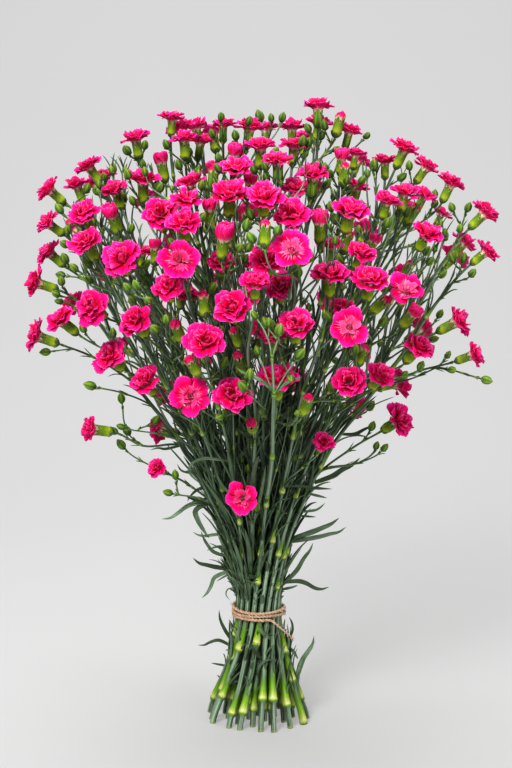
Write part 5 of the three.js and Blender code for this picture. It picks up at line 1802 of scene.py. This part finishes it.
def leaf_finish(settings):
    finish = Finish("leaf", {"Specular IOR Level": 0.6})
    u, along, tone = finish.notes("grain")
    share, under, age = finish.notes("part")
    line = finish.noise(u * 7, along * 0.15, tone * 9)
    cloud = finish.noise(u * 0.8, along * 0.9, tone * 9)
    body = finish.blend(
        settings.leaf,
        (line.within(0.3, 0.7) * 0.5, settings.stem),
        (cloud.within(0.42, 0.66) * 0.5, settings.wax_and_painted_highlight),
        # Part random deep green, part painted shade on the leaves and scales inside the bunch.
        (tone * 0.9, settings.deep_green_and_inner_shade),
        ((1 - line.within(0.34, 0.44)) * 0.4, settings.shade),
        (under * 0.25, srgb(98, 122, 96)),
        ((1 - share.within(0.0, 0.14)) * 0.6, srgb(122, 154, 66)),
        (age.within(0.2, 0.45) * 0.6, srgb(92, 130, 50)),
        (share.within(0.92, 1.0) * 0.5, srgb(104, 96, 54)),
    )
    finish.bump(line, 0.3, 0.0007)
    return finish.wear(body, 0.34 + 0.28 * cloud)


def calyx_finish(settings):
    finish = Finish("calyx", {
        "Specular IOR Level": 0.4, "Subsurface Weight": 0.08, "Subsurface Scale": 0.002,
    })
    c, s, along = finish.notes("grain")
    height, rim, tone = finish.notes("part")
    angle = finish.math("ARCTAN2", s, c)
    nerve = finish.math("SINE", angle * 5 * TEETH) * 0.5 + 0.5
    seam = finish.math("COSINE", angle * TEETH) * 0.5 + 0.5
    cloud = finish.noise(c * 1.6, s * 1.6, along * 1.6 + tone * 7)
    budding = tone.within(0.999, 1.0)
    # Painted light and shade: the bright yellow-green band on the lower half stands for sunlight on the
    # calyx, and the dark first stop at its very foot for the shadow of the scales.
    grown = [(0.0, srgb(58, 74, 16)), (0.10, srgb(122, 138, 24)), (0.26, settings.calyx_painted_light),
             (0.5, srgb(132, 160, 26)), (0.74, settings.calyx), (1.0, srgb(84, 118, 34))]
    closed = [(0.0, srgb(74, 102, 24)), (0.4, srgb(106, 144, 40)), (0.8, srgb(134, 166, 58)),
              (1.0, srgb(176, 186, 98))]
    young = finish.blend(
        finish.ramp(height + (cloud - 0.5) * 0.25, closed),
        # Painted shade: buds on stems deep inside the bunch are darker, with some random tone besides.
        ((tone - 1) * 0.6, srgb(66, 96, 38)),
        (seam.within(0.8, 1.0) * 0.4, srgb(156, 182, 98)),
        ((1 - seam.within(0.0, 0.25)) * 0.6, srgb(50, 78, 28)),
    )
    body = finish.blend(
        finish.ramp(height + (cloud - 0.5) * 0.22, grown),
        (nerve * 0.25, srgb(54, 88, 28)),
        (budding, young),
        (rim.within(0.88, 0.98) * (1 - budding) * 0.7, srgb(206, 196, 132)),
    )
    finish.bump(nerve * 0.5 + cloud * 0.5, 0.35, 0.0006)
    return finish.wear(body, 0.4 + 0.25 * cloud)


def cut_finish():
    finish = Finish("cut_end", {"Specular IOR Level": 0.4})
    c, s, along = finish.notes("grain")
    spot = finish.noise(c * 3, s * 3, along)
    body = finish.blend(srgb(206, 212, 168), (spot, srgb(176, 184, 124)))
    finish.bump(spot, 0.5, 0.0006)
    return finish.wear(body, 0.6 + 0.2 * spot)


def jute_finish(settings):
    finish = Finish("jute", {"Sheen Weight": 0.3, "Specular IOR Level": 0.2})
    c, s, along = finish.notes("grain")
    strand = finish.notes("part")[0]
    fibre = finish.noise(c * 3.5, s * 3.5, along * 1.2, 4.0, 0.65)
    tuft = finish.noise(c, s, along * 4)
    body = finish.blend(
        srgb(160, 120, 92),
        (fibre.within(0.3, 0.5), settings.jute),
        # Painted light and shade on the twist: the second strand and the stray fibres are lighter than the
        # first strand, so the two plies show as light and dark bands.
        (strand * 0.9, srgb(194, 154, 124)),
        (tuft.within(0.5, 0.75) * 0.5, srgb(240, 210, 178)),
    )
    finish.bump(fibre * 0.8 + tuft * 0.4, 0.8, 0.0009)
    return finish.wear(body, 0.8 + 0.15 * fibre)


def backdrop_finish(settings):
    finish = Finish("backdrop", {"Specular IOR Level": 0.0, "Emission Color": (1, 1, 1, 1),
                                 "Emission Strength": settings.own_light})
    place = finish.node("ShaderNodeTexCoord", output=3)
    x, y, z = finish.parts(place)
    grain = finish.noise(x * 3, y * 3, z * 3, 4.0)
    body = finish.blend(settings.backdrop, (grain, [0.97 * c for c in settings.backdrop]))
    finish.bump(grain, 0.05, 0.001)
    return finish.wear(body, 0.85 + 0.1 * grain)


# ---- What a user can change ----
def colour(name, description, default):
    return bpy.props.FloatVectorProperty(name=name, description=description, default=default,
                                         subtype="COLOR", size=3, min=0, max=1)


def number(name, description, default, low, high, **more):
    return bpy.props.FloatProperty(name=name, description=description, default=default,
                                   min=low, max=high, **more)


class BloomSettings(bpy.types.PropertyGroup):
    """Colours of the petals."""

    petal: colour("Petal", "Main colour of the petals", srgb(243, 2, 118))
    deep: colour("Deep", "Colour of the darker patches between the ruffles", srgb(226, 0, 90))
    # Painted shade colour for the folds low in the head, laid on the lower half of the petals.
    painted_fold_shade: colour("Fold", "Deep red towards the middle of the petals", srgb(224, 0, 74))
    margin: colour("Margin", "Magenta of the outer part of the petals", srgb(250, 42, 160))
    edge: colour("Edge", "Paler colour of the rims and the undersides", srgb(255, 140, 208))
    # Besides the real pale streaks, this colour paints the highlights on the inner petals and part of the
    # light in the middle of plain blooms.
    streak: colour("Streak", "Pale streaks that run out from the throat", srgb(255, 176, 216))
    claw: colour("Claw", "Where the petals leave the calyx", srgb(244, 226, 206))
    glow: number("Glow", "Share of light that passes into the petals", 0.15, 0, 1, subtype="FACTOR")


class GreenSettings(bpy.types.PropertyGroup):
    """Colours of the stems, leaves and calyces."""

    stem: colour("Stem", "Blue-green of the stems away from their joints", srgb(126, 156, 118))
    # Deep stem is partly a grass green that comes at random and partly painted shade on the stems and leaves
    # deep inside the bunch.
    deep_green_and_inner_shade: colour("Deep stem", "Grass green of the inner stems and leaves", srgb(38, 56, 20))
    # Shade is the colour of the dark lines on stems and leaves, and also the painted shade on the inward
    # sides of the stems.
    shade: colour("Shade", "Dark lines and inward sides of the stems", srgb(18, 28, 11))
    leaf: colour("Leaf", "Grey-green of the leaves", srgb(110, 138, 104))
    # Wax is the grey bloom on stems and leaves, and also the painted highlight along the hint side of each
    # stem.
    wax_and_painted_highlight: colour("Wax", "Greyish bloom of wax on stems and leaves", srgb(184, 206, 182))
    calyx: colour("Calyx", "Upper half of the calyces", srgb(110, 146, 42))
    # Calyx foot is painted light on the lower half of the calyces.
    calyx_painted_light: colour("Calyx foot", "Sunlit lower half of the calyces", srgb(188, 204, 52))


class TwineSettings(bpy.types.PropertyGroup):
    """Make-up of the jute twine."""

    jute: colour("Jute", "Colour of the fibres", srgb(224, 199, 174))
    strand_radius: number("Strand radius", "Of each twisted strand", 0.0009, 0.0005, 0.002,
                          unit="LENGTH", precision=5)
    twist_pitch: number("Twist pitch", "Length of one full twist", 0.0075, 0.004, 0.03,
                        unit="LENGTH", precision=4)
    fibres: bpy.props.IntProperty(name="Fibres", description="Stray fibres that stand off the twine",
                                  default=320, min=0, max=2000)


class StageSettings(bpy.types.PropertyGroup):
    """Floor and lights."""

    backdrop: colour("Backdrop", "Pale grey of the floor and backdrop", srgb(146, 146, 146))
    own_light: number("Backdrop light", "Even light that the backdrop gives", 0.42, 0, 2)
    contrast: number("Contrast", "Lower values darken the shadows more", 0.73, 0.5, 1.5)
    key: number("Key light", "Power of the main light", 70, 0, 500, unit="POWER")
    fill: number("Fill light", "Power of the fill light", 27, 0, 500, unit="POWER")
    sky: number("Room light", "Strength of the even light of the room", 0.12, 0, 3, subtype="FACTOR")


# ---- Operators ----
class CARNATION_OT_stage(bpy.types.Operator):
    """Sets up the pale floor, the soft lights and the camera"""

    bl_idname = "carnation.stage"
    bl_label = "Stage"

    def execute(self, context):
        settings = context.scene.carnation_stage
        add_backdrop(settings)
        add_lights(context.scene, settings)
        add_camera(context.scene)
        context.scene.view_settings.view_transform = "Standard"
        context.scene.view_settings.gamma = settings.contrast
        return {"FINISHED"}


def add_backdrop(settings):
    """A floor that curves up into a wall behind."""
    bend, wall, wide = 2.2, 0.9, 6.0
    turn = [math.radians(a) for a in range(0, 91, 6)]
    curve = [(wall + bend * math.sin(a), bend - bend * math.cos(a)) for a in turn]
    profile = [(-4, 0), *curve, (wall + bend, 5)]
    sheet = bmesh.new()
    rows = [[sheet.verts.new((x, y, z)) for x in (-wide, wide)] for y, z in profile]
    for (a, b), (c, d) in zip(rows, rows[1:]):
        sheet.faces.new((a, b, d, c))
    mesh = bpy.data.meshes.new("backdrop")
    sheet.to_mesh(mesh)
    sheet.free()
    mesh.shade_smooth()
    mesh.materials.append(backdrop_finish(settings))
    show("backdrop", mesh)


def add_lights(scene, settings):
    """Two large soft panels and an even room."""
    middle = (0, 0, 0.36)
    panels = (("key", settings.key, 0.9, (-0.85, -1.9, 1.95), middle),
              ("fill", settings.fill, 2.0, (1.7, -1.8, 1.1), middle),
              ("top", 0.35 * settings.key, 1.4, (-0.2, 0.2, 2.3), middle),
              ("wall", 0.8 * settings.key, 2.5, (0, 0.9, 3.2), (0, 3.1, 1.2)))
    for name, power, size, place, aim in panels:
        lamp = bpy.data.lights.new(name, "AREA")
        lamp.energy = power
        lamp.size = size
        light = show(name, lamp)
        light.location = place
        light.rotation_euler = (Vector(aim) - Vector(place)).to_track_quat("-Z", "Y").to_euler()
    world = bpy.data.worlds.new("room")
    world.use_nodes = True
    room = world.node_tree.nodes["Background"]
    room.inputs[0].default_value = (1, 1, 1, 1)
    room.inputs[1].default_value = settings.sky
    scene.world = world


def add_camera(scene):
    """The camera that the front picture was read with."""
    lens = bpy.data.cameras.new("camera")
    lens.sensor_fit = "VERTICAL"
    lens.sensor_height = 36
    lens.lens = 36 * EYE_FOCUS / PICTURE_HEIGHT
    lens.clip_start = 0.05
    lens.clip_end = 30
    camera = show("camera", lens)
    camera.location = (EYE + np.array([*SHIFT, 0])) / 1000
    camera.rotation_euler = (math.pi / 2 - EYE_TILT, 0, 0)
    scene.camera = camera


class CARNATION_OT_sprays(bpy.types.Operator):
    """Grows the sprays: jointed stems, leaves, buds and calyces, and their petals"""

    bl_idname = "carnation.sprays"
    bl_label = "Sprays"

    def execute(self, context):
        greens = context.scene.carnation_green
        finishes = [stem_finish(greens), leaf_finish(greens), calyx_finish(greens), cut_finish()]
        petals = [petal_finish(context.scene.carnation_blooms)]
        for spray in layout():
            node = f"spray_{spray.s + 1:02d}"
            green, pink = spray_bodies(spray)
            keep(green.build(f"greenery_{spray.s + 1:02d}", finishes), node)
            if pink.count:
                keep(pink.build(f"blooms_{spray.s + 1:02d}", petals), node)
        return {"FINISHED"}


def keep(piece, node):
    """Ties a piece to the frame, in place of the solid it stands for."""
    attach(piece, "root")
    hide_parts(node)


class CARNATION_OT_twine(bpy.types.Operator):
    """Winds the twine round the waist"""

    bl_idname = "carnation.twine"
    bl_label = "Twine"

    def execute(self, context):
        settings = context.scene.carnation_twine
        keep(twine_body(settings).build("twine", [jute_finish(settings)]), "twine_tie")
        return {"FINISHED"}


class CARNATION_PT_panel(bpy.types.Panel):
    """Lists the settings and the steps."""

    bl_idname = "CARNATION_PT_panel"
    bl_label = "Carnation bunch"
    bl_space_type = "VIEW_3D"
    bl_region_type = "UI"
    bl_category = "Carnations"

    def draw(self, context):
        for steps, group in STEPS:
            box = self.layout.box()
            settings = getattr(context.scene, group)
            for key in settings.__annotations__:
                box.prop(settings, key)
            for step in steps:
                box.operator(step)


STEPS = (
    (("carnation.stage",), "carnation_stage"),
    (("carnation.sprays",), "carnation_green"),
    ((), "carnation_blooms"),
    (("carnation.twine",), "carnation_twine"),
)
SETTINGS = {
    "carnation_stage": StageSettings,
    "carnation_green": GreenSettings,
    "carnation_blooms": BloomSettings,
    "carnation_twine": TwineSettings,
}
CLASSES = (
    *SETTINGS.values(), CARNATION_OT_stage, CARNATION_OT_sprays, CARNATION_OT_twine, CARNATION_PT_panel,
)


def register():
    for each in CLASSES:
        bpy.utils.register_class(each)
    for name, group in SETTINGS.items():
        setattr(bpy.types.Scene, name, bpy.props.PointerProperty(type=group))


def unregister():
    for name in SETTINGS:
        delattr(bpy.types.Scene, name)
    for each in reversed(CLASSES):
        bpy.utils.unregister_class(each)


def main():
    register()
    bpy.ops.carnation.stage()
    bpy.ops.carnation.sprays()
    bpy.ops.carnation.twine()
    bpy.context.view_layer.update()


if __name__ == "__main__":
    main()
